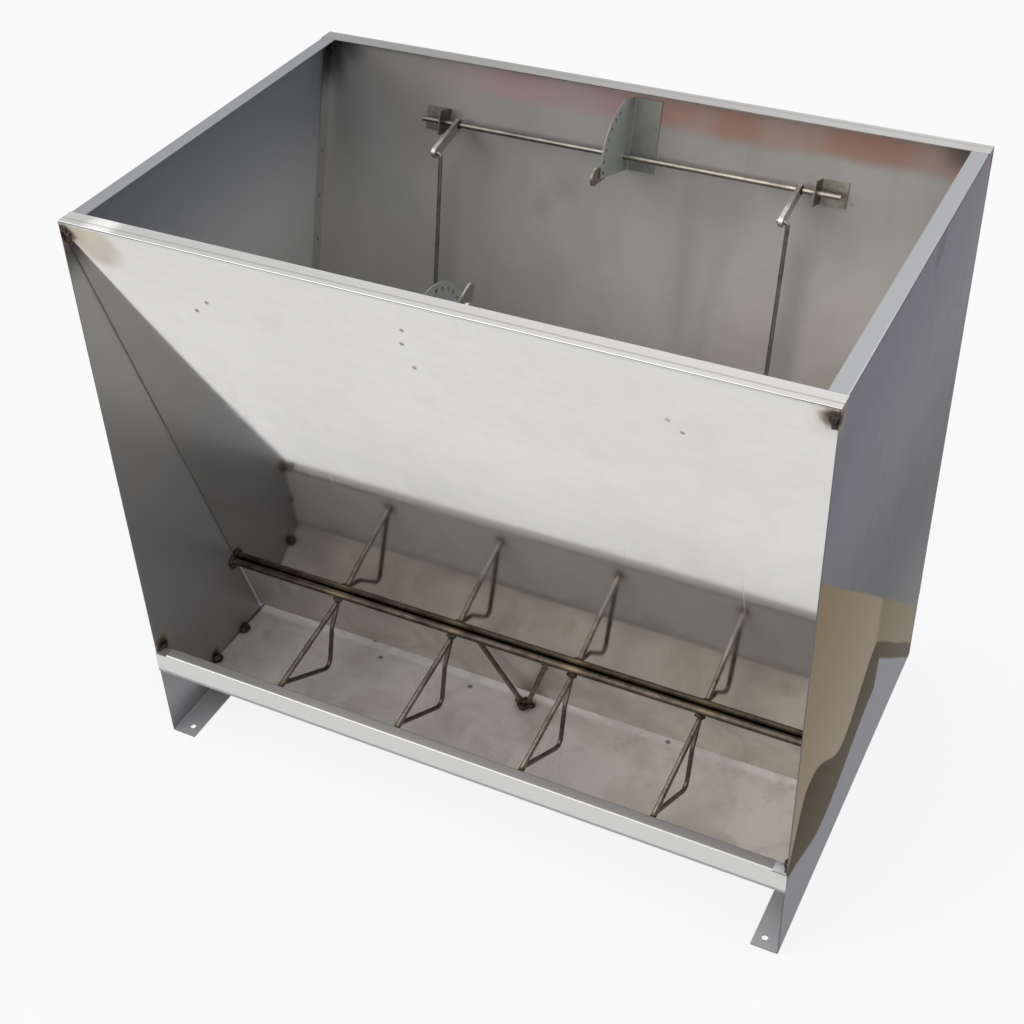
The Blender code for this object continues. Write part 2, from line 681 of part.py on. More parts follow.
def make_quadrant(side_name, slope_frame, material):
    """Makes the quadrant plate that the lever swings along, with its mounting flange."""
    base_y = GAP + SHEET / 2.0
    reach = SHAFT_STANDOFF + QUADRANT_RADIUS
    corners = [
        Vector((-QUADRANT_FLANGE_WIDTH, base_y, 0.0)),
        Vector((0.0, base_y, 0.0)),
        Vector((0.0, reach, 0.0)),
    ]
    name = side_name + "_quadrant"
    shape = folded_sheet(corners, Vector((0.0, 0.0, 1.0)), QUADRANT_LOW, QUADRANT_TOP)
    quadrant = add_object(name, shape, material, slope_frame)
    quadrant.location = (QUADRANT_X, 0.0, 0.0)

    first = math.asin(QUADRANT_LOW / QUADRANT_RADIUS)
    last = math.asin(QUADRANT_TOP / QUADRANT_RADIUS)
    rim = []
    for step in range(HOLE_SIDES + 1):
        angle = first + (last - first) * step / HOLE_SIDES
        rim.append((SHAFT_STANDOFF + QUADRANT_RADIUS * math.cos(angle), QUADRANT_RADIUS * math.sin(angle)))
    below = [(-SHEET, QUADRANT_LOW - SHEET), (rim[0][0], QUADRANT_LOW - SHEET)]
    above = [(rim[-1][0], QUADRANT_TOP + SHEET), (-SHEET, QUADRANT_TOP + SHEET)]
    outline = below + rim + above
    keep = add_object(name + "_outline", plate(outline, -QUADRANT_FLANGE_WIDTH - SHEET, SHEET), parent=quadrant)
    combine(quadrant, keep, "INTERSECT")

    holes = [circle_outline(SHAFT_STANDOFF, 0.0, SHAFT_RADIUS + 2.0 * GAP)]
    for number in range(LOCK_HOLE_COUNT):
        angle = LOCK_HOLE_FIRST_ANGLE + number * LOCK_HOLE_STEP
        y = SHAFT_STANDOFF + LOCK_HOLE_CIRCLE * math.cos(angle)
        z = LOCK_HOLE_CIRCLE * math.sin(angle)
        holes.append(circle_outline(y, z, LOCK_PIN_RADIUS + 2.0 * GAP))
    drill(quadrant, name + "_holes", holes, -2.0 * SHEET, 2.0 * SHEET)
    shade_round(quadrant)


def make_shaft_group(side_name, slope_frame, materials):
    """Makes the shaft, its crank arms, its lever and the lever's lock pin on the shaft's axis."""
    hole = LEVER_HOLE_AT_REST[side_name]
    axis = add_empty(side_name + "_shaft_axis", slope_frame, (0.0, SHAFT_STANDOFF, 0.0), crank_angle(hole))
    ends = [Vector((-SHAFT_HALF_LENGTH, 0.0, 0.0)), Vector((SHAFT_HALF_LENGTH, 0.0, 0.0))]
    shaft = add_object(side_name + "_shaft", swept_rod(ends, SHAFT_RADIUS), materials["shaft_steel"], axis)
    shade_round(shaft)

    for word, side in (("left", -1.0), ("right", 1.0)):
        outline = rounded_bar_outline(0.0, CRANK_RADIUS, CRANK_HALF_WIDTH)
        name = side_name + "_crank_" + word
        half = CRANK_THICKNESS / 2.0
        crank = add_object(name, plate(outline, -half, half), materials["crank_steel"], axis)
        crank.location = (side * CRANK_X, 0.0, 0.0)
        holes = [circle_outline(0.0, 0.0, SHAFT_RADIUS + GAP),
                 circle_outline(CRANK_RADIUS, 0.0, PULL_ROD_RADIUS + GAP)]
        drill(crank, name + "_holes", holes, -CRANK_THICKNESS, CRANK_THICKNESS)
        shade_round(crank)

    lever_near = QUADRANT_X + SHEET / 2.0 + GAP
    outline = rounded_bar_outline(0.0, LEVER_REACH - LEVER_HALF_WIDTH, LEVER_HALF_WIDTH)
    lever = add_object(side_name + "_lever", plate(outline, 0.0, LEVER_THICKNESS), materials["lever_steel"], axis)
    lever.location = (lever_near, 0.0, 0.0)
    lever.rotation_euler = (LOCK_HOLE_FIRST_ANGLE - CRANK_LOW_ANGLE, 0.0, 0.0)
    holes = [circle_outline(0.0, 0.0, SHAFT_RADIUS + GAP),
             circle_outline(LOCK_HOLE_CIRCLE, 0.0, LOCK_PIN_RADIUS + GAP)]
    drill(lever, side_name + "_lever_holes", holes, -LEVER_THICKNESS, 2.0 * LEVER_THICKNESS)
    shade_round(lever)

    neck = LEVER_THICKNESS + LOCK_PIN_STROKE + GAP
    profile = [
        (0.0, LOCK_PIN_RADIUS - GAP),
        (GAP, LOCK_PIN_RADIUS),
        (neck, LOCK_PIN_RADIUS),
        (neck, LOCK_PIN_HEAD_RADIUS),
        (neck + LOCK_PIN_HEAD_LENGTH - 2.0 * GAP, LOCK_PIN_HEAD_RADIUS),
        (neck + LOCK_PIN_HEAD_LENGTH, LOCK_PIN_HEAD_RADIUS - 2.0 * GAP),
    ]
    pin = add_object(side_name + "_lock_pin", turned_pin(profile), materials["lock_pin_steel"], lever)
    pin.location = (0.0, LOCK_HOLE_CIRCLE, 0.0)
    shade_round(pin)


def make_gate(side_name, slope_frame, materials):
    """Makes the sliding gate plate and the slotted lugs that the pull rods hold it by."""
    half_length = LENGTH / 2.0 - 2.0 * SHEET - GAP - GATE_SIDE_CLEARANCE
    shape = box((-half_length, 0.0, 0.0), (half_length, SHEET, GATE_HEIGHT))
    gate = add_object(side_name + "_gate", shape, materials["gate_steel"], slope_frame)
    lug_place = lug_pin(LEVER_HOLE_AT_REST[side_name])[1]
    gate.location = (0.0, GAP, lug_place - LUG_ABOVE_EDGE)

    root = SHEET + GAP
    outline = [(root, -LUG_HALF_HEIGHT)]
    for start, side in ((-90.0, -1.0), (0.0, 1.0)):
        for step in range(BEND_STEPS + 1):
            angle = math.radians(start + 90.0 * step / BEND_STEPS)
            outline.append((LUG_REACH + LUG_CORNER_RADIUS * (math.cos(angle) - 1.0),
                            side * (LUG_HALF_HEIGHT - LUG_CORNER_RADIUS) + LUG_CORNER_RADIUS * math.sin(angle)))
    outline.append((root, LUG_HALF_HEIGHT))
    slot = rounded_bar_outline(LUG_SLOT_LOW, LUG_SLOT_HIGH, PULL_ROD_RADIUS + LUG_SLOT_PLAY)
    for word, side in (("left", -1.0), ("right", 1.0)):
        name = side_name + "_gate_lug_" + word
        half = LUG_THICKNESS / 2.0
        lug = add_object(name, plate(outline, -half, half), materials["gate_lug_steel"], gate)
        lug.location = (side * CRANK_X, 0.0, LUG_ABOVE_EDGE)
        drill(lug, name + "_slot", [slot], -LUG_THICKNESS, LUG_THICKNESS)
        shade_round(lug)


def make_pull_rods(side_name, slope_frame, material):
    """Makes the pull rods from the crank arms to the gate lugs, hooked at both ends."""
    hole = LEVER_HOLE_AT_REST[side_name]
    pin_reach, pin_place = crank_pin(hole)
    lug_reach, _, length = lug_pin(hole)
    crank_tip = CRANK_THICKNESS / 2.0 + PULL_ROD_TIP_OVERHANG
    lug_tip = LUG_THICKNESS / 2.0 + PULL_ROD_TIP_OVERHANG
    corners = [
        Vector((crank_tip, 0.0, 0.0)),
        Vector((PULL_ROD_SIDE_OFFSET, 0.0, 0.0)),
        Vector((PULL_ROD_SIDE_OFFSET, 0.0, -length)),
        Vector((lug_tip, 0.0, -length)),
    ]
    for word, side in (("left", -1.0), ("right", 1.0)):
        shape = swept_rod(corners, PULL_ROD_RADIUS, PULL_ROD_BEND_RADIUS)
        rod = add_object(side_name + "_pull_rod_" + word, shape, material, slope_frame)
        rod.location = (side * CRANK_X, pin_reach, pin_place)
        rod.rotation_euler = (-math.asin((pin_reach - lug_reach) / length), 0.0, 0.0)
        shade_round(rod)


def main():
    """Builds the whole feeder."""
    clear_scene()
    materials = make_materials()
    make_end_panel("left_end_panel", -1.0, materials["end_panel_steel"])
    make_end_panel("right_end_panel", 1.0, materials["end_panel_steel"])
    make_trough(materials["trough_steel"])
    for side_name, turn in (("front", 0.0), ("back", math.pi)):
        side_frame = add_empty(side_name + "_side", turn_z=turn)
        slope_frame = add_empty(side_name + "_slope", side_frame, slope_point(0.0, 0.0, SHAFT_BELOW_RIM), SLOPE)
        make_hopper_panel(side_name, side_frame, materials["hopper_panel_steel"])
        make_guard_bar(side_name, side_frame, materials["guard_bar_steel"])
        make_dividers(side_name, side_frame, materials["divider_steel"], materials["divider_loop_steel"])
        make_brace(side_name, side_frame, materials["brace_steel"])
        make_brackets(side_name, slope_frame, materials["bracket_steel"])
        make_quadrant(side_name, slope_frame, materials["quadrant_steel"])
        make_shaft_group(side_name, slope_frame, materials)
        make_gate(side_name, slope_frame, materials)
        make_pull_rods(side_name, slope_frame, materials["pull_rod_steel"])


main()
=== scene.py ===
"""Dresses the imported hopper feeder: steel finishes, weld beads, spot welds, lights and camera."""

import math
import random

import bmesh
import bpy
from mathutils import Matrix, Vector
from mathutils import noise as field


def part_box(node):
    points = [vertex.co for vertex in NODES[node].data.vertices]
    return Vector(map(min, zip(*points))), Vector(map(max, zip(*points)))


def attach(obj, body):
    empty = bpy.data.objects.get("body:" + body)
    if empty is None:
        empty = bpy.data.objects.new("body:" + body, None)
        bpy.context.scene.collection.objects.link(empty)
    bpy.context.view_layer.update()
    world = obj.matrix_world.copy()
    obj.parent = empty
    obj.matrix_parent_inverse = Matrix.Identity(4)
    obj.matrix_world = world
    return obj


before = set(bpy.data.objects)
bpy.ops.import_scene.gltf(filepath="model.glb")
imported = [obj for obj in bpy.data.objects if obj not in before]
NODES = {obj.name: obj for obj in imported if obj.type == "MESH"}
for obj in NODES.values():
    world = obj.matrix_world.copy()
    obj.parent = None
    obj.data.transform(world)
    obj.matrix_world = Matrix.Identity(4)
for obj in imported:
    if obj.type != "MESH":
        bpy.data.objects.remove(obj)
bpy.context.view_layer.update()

# Sizes and places of the feeder's front side, in metres; the back side is the same, turned half a turn.
HALF_LENGTH = 0.500
HALF_DEPTH = 0.325
HEIGHT = 0.900
SHEET = 0.0015
SKIN = 0.0004
SLOPE = math.radians(17.0)
INWARD = Vector((0.0, math.cos(SLOPE), math.sin(SLOPE)))
UP_SLOPE = Vector((0.0, -math.sin(SLOPE), math.cos(SLOPE)))
ALONG = Vector((1.0, 0.0, 0.0))
UPRIGHT = Vector((0.0, 0.0, 1.0))
PANEL_TOP = Vector((0.0, -HALF_DEPTH, HEIGHT))
INNER_X = HALF_LENGTH - SHEET
FLOOR = 0.045
BAR = Vector((0.0, -0.11452, 0.19001))
BAR_RADIUS = 0.006
DIVIDER_TOP = Vector((0.0, -0.11131, 0.18011))
DIVIDER_LOW = Vector((0.0, -0.29497, 0.14878))
DIVIDER_X = (-0.3, -0.1, 0.1, 0.3)
BRACE_FOOT = Vector((0.0, -0.080, FLOOR))
BRACE_LEAN = math.radians(20.0)
SHAFT = Vector((0.0, -0.275495, 0.811612))
CRANK_X = 0.262
HALF_CRANK = 0.003
PULL_ROD_X = 0.272
RIM_CREASE = 0.3135
WALL_FOOT = 0.2358
QUADRANT_X = -0.003
LOCK_CIRCLE = 0.073
LOCK_ANGLES = [math.radians(-11.0 + 12.0 * number) for number in range(7)]
SIDES = (("front", 0.0), ("back", math.pi))
ENDS = (-1.0, 1.0)

# Spot welds of the shaft brackets and the quadrant, seen on the hopper panel's outer face, as (x, z).
SPOTS = ((-0.331, 0.795), (-0.309, 0.815), (0.303, 0.814), (0.3195, 0.798),
         (-0.022, 0.854), (-0.028, 0.830), (-0.0205, 0.792))
SPOT_RADIUS = 0.0026
SPOT_HEIGHT = 0.0003

# Blender seeds its vector noise by the clock, so it gets its own seed and every run makes the same beads.
NOISE_SEED = 1
field.seed_set(NOISE_SEED)

# Corners closer than this are joined, and edges that bend less than this are shaded smooth.
JOIN_DISTANCE = 0.000005
ROUND_BEND = math.radians(31.0)

# The studio: its floor, the tone and strength of its white room, and its lamps as rows of name, place,
# size, power and colour.
FLOOR_SIZE = 14.0
FLOOR_DROP = 0.0006
FLOOR_TONE = (0.86, 0.86, 0.86, 1.0)
FLOOR_WHITENESS = 0.84
ROOM_TONE = (0.93, 0.96, 1.0, 1.0)
ROOM_STRENGTH = 0.66
WHITE = (1.0, 1.0, 1.0, 1.0)
LAMPS = (
    ("key_lamp", (-1.6, -2.0, 3.2), 4.2, 50.0, (1.0, 0.985, 0.96)),
    ("fill_lamp", (2.4, 1.2, 2.8), 3.6, 26.0, (0.94, 0.97, 1.0)),
)
LAMP_AIM = Vector((0.0, 0.0, 0.4))

# The camera stands where the photograph's camera stood.
CAMERA_PLACE = (0.82597, -1.66361, 1.84667)
CAMERA_RIGHT = Vector((0.89502, 0.44500, -0.03013))
CAMERA_AHEAD = Vector((-0.36523, 0.69245, -0.62220))
SENSOR_WIDTH = 36.0
LENS = 56.96

# Colours of burnt steel, also used as painted shade, and of the scale on the rods.
BURN_AND_SHADE = (0.030, 0.022, 0.018)
RUST = (0.085, 0.040, 0.020)
STRAW = (0.36, 0.28, 0.17)
SCALE = (0.115, 0.080, 0.058)


def turned(point, angle):
    """Turns a point of the front side about the vertical axis to its own side."""
    return Matrix.Rotation(angle, 3, "Z") @ Vector(point)


def turned_all(points, angle):
    """Turns a list of front side points to their own side."""
    return [turned(point, angle) for point in points]


def both_sides(points):
    """Gives points of the front side, and the same points on the back side."""
    return [turned(point, angle) for _, angle in SIDES for point in points]


def at_dividers(place):
    """Gives a front side point of one divider for all four of them."""
    return [(x, place.y, place.z) for x in DIVIDER_X]


def on_panel(x, z, inward=0.0):
    """Gives the point of the front hopper panel's outer face at a height, or a distance inside it."""
    down = (HEIGHT - z) / math.cos(SLOPE)
    return Vector((x, 0.0, 0.0)) + PANEL_TOP - UP_SLOPE * down + INWARD * inward


# Node materials


class Paint:
    """Holds one material's node tree while its colour, roughness and bump are put together."""

    def __init__(self, name):
        self.material = bpy.data.materials.new(name)
        self.material.use_nodes = True
        self.tree = self.material.node_tree
        self.tree.nodes.clear()
        self.shader = self.add("ShaderNodeBsdfPrincipled")
        output = self.add("ShaderNodeOutputMaterial")
        self.tree.links.new(self.shader.outputs[0], output.inputs["Surface"])
        coordinates = self.add("ShaderNodeTexCoord")
        self.place = coordinates.outputs["Object"]
        self.facing = coordinates.outputs["Normal"]

    def add(self, kind, values=(), **settings):
        """Adds a node, with settings as attributes and values as (socket, value or link) pairs."""
        node = self.tree.nodes.new(kind)
        for key, value in settings.items():
            setattr(node, key, value)
        for key, value in values:
            self.put(node.inputs[key], value)
        return node

    def put(self, socket, value):
        """Links a socket to another one, or gives it a plain value."""
        if isinstance(value, bpy.types.NodeSocket):
            self.tree.links.new(value, socket)
        elif socket.type == "RGBA" and len(value) == 3:
            socket.default_value = (*value, 1.0)
        else:
            socket.default_value = value

    def math(self, operation, first, second=0.0, clamp=False):
        pairs = ((0, first), (1, second))
        return self.add("ShaderNodeMath", pairs, operation=operation, use_clamp=clamp).outputs[0]

    def product(self, first, *others):
        for other in others:
            first = self.math("MULTIPLY", first, other)
        return first

    def plus(self, first, second):
        return self.math("ADD", first, second)

    def minus(self, first, second):
        return self.math("SUBTRACT", first, second)

    def size(self, value):
        """Gives a number without its sign."""
        return self.math("ABSOLUTE", value)

    def axes(self, vector):
        """Splits a vector into its three numbers."""
        node = self.add("ShaderNodeSeparateXYZ", ((0, vector),))
        return node.outputs[0], node.outputs[1], node.outputs[2]

    def band(self, value, low, high, to_low=0.0, to_high=1.0):
        """Maps a value smoothly from low..high to to_low..to_high."""
        limits = (("From Min", low), ("From Max", high), ("To Min", to_low), ("To Max", to_high))
        pairs = (("Value", value), *limits)
        return self.add("ShaderNodeMapRange", pairs, interpolation_type="SMOOTHSTEP").outputs[0]

    def noise(self, scale, detail, rough, warp=0.0, stretch=(1.0, 1.0, 1.0), turn=(0.0, 0.0, 0.0),
              move=(0.0, 0.0, 0.0)):
        """Gives noise in metres of the object's own space, stretched along its axes."""
        pairs = (("Vector", self.place), ("Location", move), ("Rotation", turn), ("Scale", stretch))
        mapped = self.add("ShaderNodeMapping", pairs, vector_type="POINT").outputs[0]
        pairs = (("Vector", mapped), ("Scale", scale), ("Detail", detail), ("Roughness", rough),
                 ("Distortion", warp))
        return self.add("ShaderNodeTexNoise", pairs, noise_dimensions="3D").outputs[0]

    def mix(self, share, first, second):
        """Mixes two colours."""
        node = self.add("ShaderNodeMix", data_type="RGBA")
        self.put(node.inputs[0], share)
        self.put(node.inputs[6], first)
        self.put(node.inputs[7], second)
        return node.outputs[2]

    def between(self, share, first, second):
        """Mixes two numbers."""
        node = self.add("ShaderNodeMix", ((0, share), (2, first), (3, second)), data_type="FLOAT")
        return node.outputs[0]

    def times(self, colour, *tones):
        """Gives a colour times plain factors."""
        for tone in tones:
            pairs = ((0, colour), ("Scale", tone))
            colour = self.add("ShaderNodeVectorMath", pairs, operation="SCALE").outputs[0]
        return colour

    def largest(self, masks):
        """Gives the largest of several masks."""
        result = masks[0]
        for mask in masks[1:]:
            result = self.math("MAXIMUM", result, mask)
        return result

    def near(self, centre, radius, ragged, fade):
        """Gives 1 near a point and 0 past a radius, with a ragged edge."""
        pairs = ((0, self.place), (1, tuple(centre)))
        distance = self.add("ShaderNodeVectorMath", pairs, operation="DISTANCE").outputs["Value"]
        uneven = self.noise(0.6 / radius, 3.0, 0.6)
        reach = self.band(uneven, 0.25, 0.75, radius * (1.0 - ragged), radius * (1.0 + ragged))
        return self.band(self.math("DIVIDE", distance, reach), 1.0, fade)

    def near_any(self, points, radius, ragged, fade):
        """Gives 1 near any of several points."""
        return self.largest([self.near(point, radius, ragged, fade) for point in points])

    def bumps(self, layers):
        """Chains bump layers of (height, distance in metres, strength) and links the normal."""
        normal = None
        for height, distance, strength in layers:
            pairs = [("Height", height), ("Distance", distance), ("Strength", strength)]
            if normal is not None:
                pairs.append(("Normal", normal))
            normal = self.add("ShaderNodeBump", pairs).outputs[0]
        self.put(self.shader.inputs["Normal"], normal)


class Steel(Paint):
    """Stainless sheet or rod: rolling grain, cloudy mottling, dull smears, scratches and weld heat marks."""

    def __init__(self, name, light, dark, rough, clouds, smear, seed=0.0, lines=0.03, sheen=0.16,
                 along=(1.0, 0.0, 0.0)):
        super().__init__(name)
        across = [1.0 if share == 0.0 else 0.035 for share in along]
        shift = (seed, seed * 0.7, seed * 1.3)
        cloud = self.noise(clouds, 3.0, 0.55, 0.4, move=shift)
        self.fleck = self.noise(clouds * 6.0, 5.0, 0.6, 0.2, move=shift)
        self.grain = self.noise(620.0, 2.0, 0.7, stretch=across, move=shift)
        streak = self.noise(75.0, 3.0, 0.6, stretch=across, move=shift)
        patch = self.noise(clouds * 2.2, 6.0, 0.65, 0.8, move=(seed + 3.1, seed, seed))
        smears = self.product(self.band(patch, 0.52, 0.68), smear)
        mottled = self.plus(self.product(cloud, 0.6), self.product(self.fleck, 0.4))
        self.colour = self.mix(self.band(mottled, 0.35, 0.65), dark, light)
        shade = self.plus(self.product(self.grain, 0.5), self.product(streak, 0.5))
        tone = self.band(shade, 0.35, 0.65, 1.0 - lines, 1.0 + 0.6 * lines)
        self.colour = self.times(self.colour, tone)
        self.colour = self.mix(smears, self.colour, tuple(0.86 * channel for channel in dark))
        self.scratch = self.largest([self.scratches(seed, 0.0, 0.5), self.scratches(seed, 1.0, -0.9)])
        bright = tuple(min(1.0, 1.25 * channel) for channel in light)
        self.colour = self.mix(self.product(self.scratch, 0.16), self.colour, bright)
        self.rough = self.band(streak, 0.3, 0.7, rough * (1.0 - sheen), rough * (1.0 + sheen))
        self.rough = self.plus(self.rough, self.product(smears, 0.10))
        self.rough = self.plus(self.rough, self.product(self.scratch, 0.12))
        self.metal = 1.0

    def scratches(self, seed, shift, lean):
        """Gives a few long thin handling scratches that lean one way."""
        lines = self.noise(260.0, 1.0, 0.4, stretch=(1.0, 0.02, 0.02), turn=(lean, lean * 0.8, lean),
                           move=(seed + shift, 0.0, seed))
        return self.band(lines, 0.765, 0.80)

    def stain(self, mask, colour, share=1.0, rough=None, dull=0.0):
        """Lays a stain over the steel, which can make it rougher and less metallic."""
        mask = self.product(mask, share)
        self.colour = self.mix(mask, self.colour, colour)
        if rough is not None:
            self.rough = self.between(mask, self.rough, rough)
        if dull:
            self.metal = self.math("SUBTRACT", self.metal, self.product(mask, dull), clamp=True)

    def weld_marks(self, points, radius, tint=2.2, where=1.0):
        """Burns the steel round weld points: a dark heart, a brown ring and a straw-coloured rim."""
        wide = self.near_any(points, radius * tint, 0.25, 0.2)
        self.stain(self.product(wide, where), STRAW, 0.45)
        ring = self.near_any(points, radius, 0.45, 0.35)
        self.stain(self.product(ring, where), RUST, 0.8, 0.55, 0.3)
        heart = self.near_any(points, radius * 0.6, 0.5, 0.4)
        self.stain(self.product(heart, where), BURN_AND_SHADE, 0.9, 0.6, 0.4)

    def close(self, grain_depth, wave, wave_scale, pits=0.0):
        """Adds the bump layers, whose heights are in metres, and finishes the material."""
        layers = []
        if wave:
            swell = self.noise(wave_scale, 1.0, 0.4, move=(2.0, 5.0, 1.0))
            layers.append((swell, wave, 0.5))
        if pits:
            layers.append((self.fleck, pits, 0.6))
        layers.append((self.grain, grain_depth, 0.8))
        layers.append((self.scratch, grain_depth, 0.6))
        self.bumps(layers)
        self.put(self.shader.inputs["Base Color"], self.colour)
        self.put(self.shader.inputs["Roughness"], self.rough)
        self.put(self.shader.inputs["Metallic"], self.metal)
        return self.material


def film_and_shade_hopper_inside(paint, x, z, inside):
    """Lays a dull film inside the hopper, darker high up, with painted shade towards the left, runs, and
    painted reflections of the pull rods.
    """
    cloud = paint.noise(7.0, 4.0, 0.55, 0.5, move=(4.0, 1.0, 2.0))
    film = paint.mix(paint.band(cloud, 0.35, 0.65), (0.465, 0.443, 0.405), (0.52, 0.498, 0.46))
    # Painted shade: the film darkens towards the left, and a grey wedge lies over its left end.
    lean = paint.plus(x, paint.product(paint.minus(z, 0.88), 0.68))
    film = paint.times(film, paint.band(z, 0.89, 0.62, 0.55, 1.22), paint.band(lean, -0.50, 0.50, 0.82, 1.36))
    shaded = paint.band(paint.plus(lean, paint.product(cloud, 0.05)), -0.39, -0.46)
    film = paint.mix(paint.product(shaded, 0.45), film, (0.35, 0.355, 0.365))
    paint.stain(inside, film, 0.95, 0.34, 0.55)

    run = paint.noise(15.0, 3.0, 0.5, 0.2, stretch=(1.0, 0.16, 0.16), move=(0.0, 3.0, 0.0))
    paint.stain(paint.product(paint.band(run, 0.50, 0.78), inside), (0.22, 0.205, 0.165), 0.23, 0.45)
    # Painted reflections of the pull rods: dark stripes on the panels beside each rod.
    from_rod = paint.size(paint.minus(paint.size(x), PULL_ROD_X))
    painted_reflection = paint.product(paint.band(from_rod, 0.030, 0.004), paint.band(z, 0.78, 0.70))
    paint.stain(paint.product(painted_reflection, inside), (0.20, 0.195, 0.17), 0.34, 0.45)

    # Three soft patches on the back panel, as (x, z, radius)
    patches = ((-0.088, 0.745, 0.045), (0.150, 0.768, 0.060), (-0.125, 0.712, 0.030))
    patches = [paint.near(turned(on_panel(-across, height), math.pi), radius, 0.3, 0.0)
               for across, height, radius in patches]
    paint.stain(paint.product(paint.largest(patches), inside), (0.23, 0.215, 0.165), 0.36, 0.45)


def rim_shadow_and_red_band(paint, x, y, z, inside):
    """Lays a painted shadow on the panels under their rims and a red-brown band under the back one."""
    # Painted shadow: a dark band on the panels just under the rims.
    rim_shadow = paint.product(paint.band(z, 0.882, 0.893), paint.band(x, -0.42, -0.28, 1.0, 0.6))
    paint.stain(paint.product(rim_shadow, inside), (0.12, 0.12, 0.12), 0.92, 0.45)

    ragged = paint.noise(11.0, 3.0, 0.5, 0.3, move=(1.3, 0.4, 0.0))
    lower = paint.plus(0.834, paint.product(ragged, 0.022))
    above = paint.band(paint.minus(z, lower), -0.006, 0.016)
    fading = paint.noise(9.0, 2.0, 0.5, 0.2, stretch=(1.0, 1.0, 0.6), move=(5.3, 2.4, 1.0))
    patch = paint.product(above, paint.band(z, 0.893, 0.882), paint.band(fading, 0.34, 0.60, 0.62, 1.0),
                          paint.band(y, 0.0, 0.05), inside, paint.band(x, -0.36, -0.14))
    stain = paint.mix(paint.band(x, -0.06, 0.06), (0.36, 0.225, 0.235), (0.345, 0.173, 0.134))
    paint.stain(patch, stain, 0.86, 0.42, 0.1)


def tone_rims(paint, x, y, rim):
    """Gives the rims their tones, with a painted highlight near one end of each and a crease along the fold.
    """
    tone = paint.mix(paint.band(x, -0.45, 0.45), (0.53, 0.525, 0.515), (0.70, 0.69, 0.67))
    paint.stain(rim, tone, 0.9, 0.24)
    # Painted highlight: a near-white glare near one end of each front and back rim.
    painted_reflection = paint.near_any(both_sides([(-0.440, -0.3130, HEIGHT)]), 0.034, 0.3, 0.2)
    paint.stain(paint.product(painted_reflection, rim), (0.97, 0.965, 0.95), 0.85, 0.2)
    back_tone = paint.mix(paint.band(x, -0.45, 0.45), (0.25, 0.245, 0.24), (0.52, 0.515, 0.51))
    paint.stain(paint.product(rim, paint.band(y, 0.0, 0.05)), back_tone, 0.9, 0.3)
    crease = paint.band(paint.size(paint.minus(paint.size(y), RIM_CREASE)), 0.0022, 0.0008)
    paint.stain(paint.product(crease, rim), (0.20, 0.20, 0.20), 0.4, 0.35)


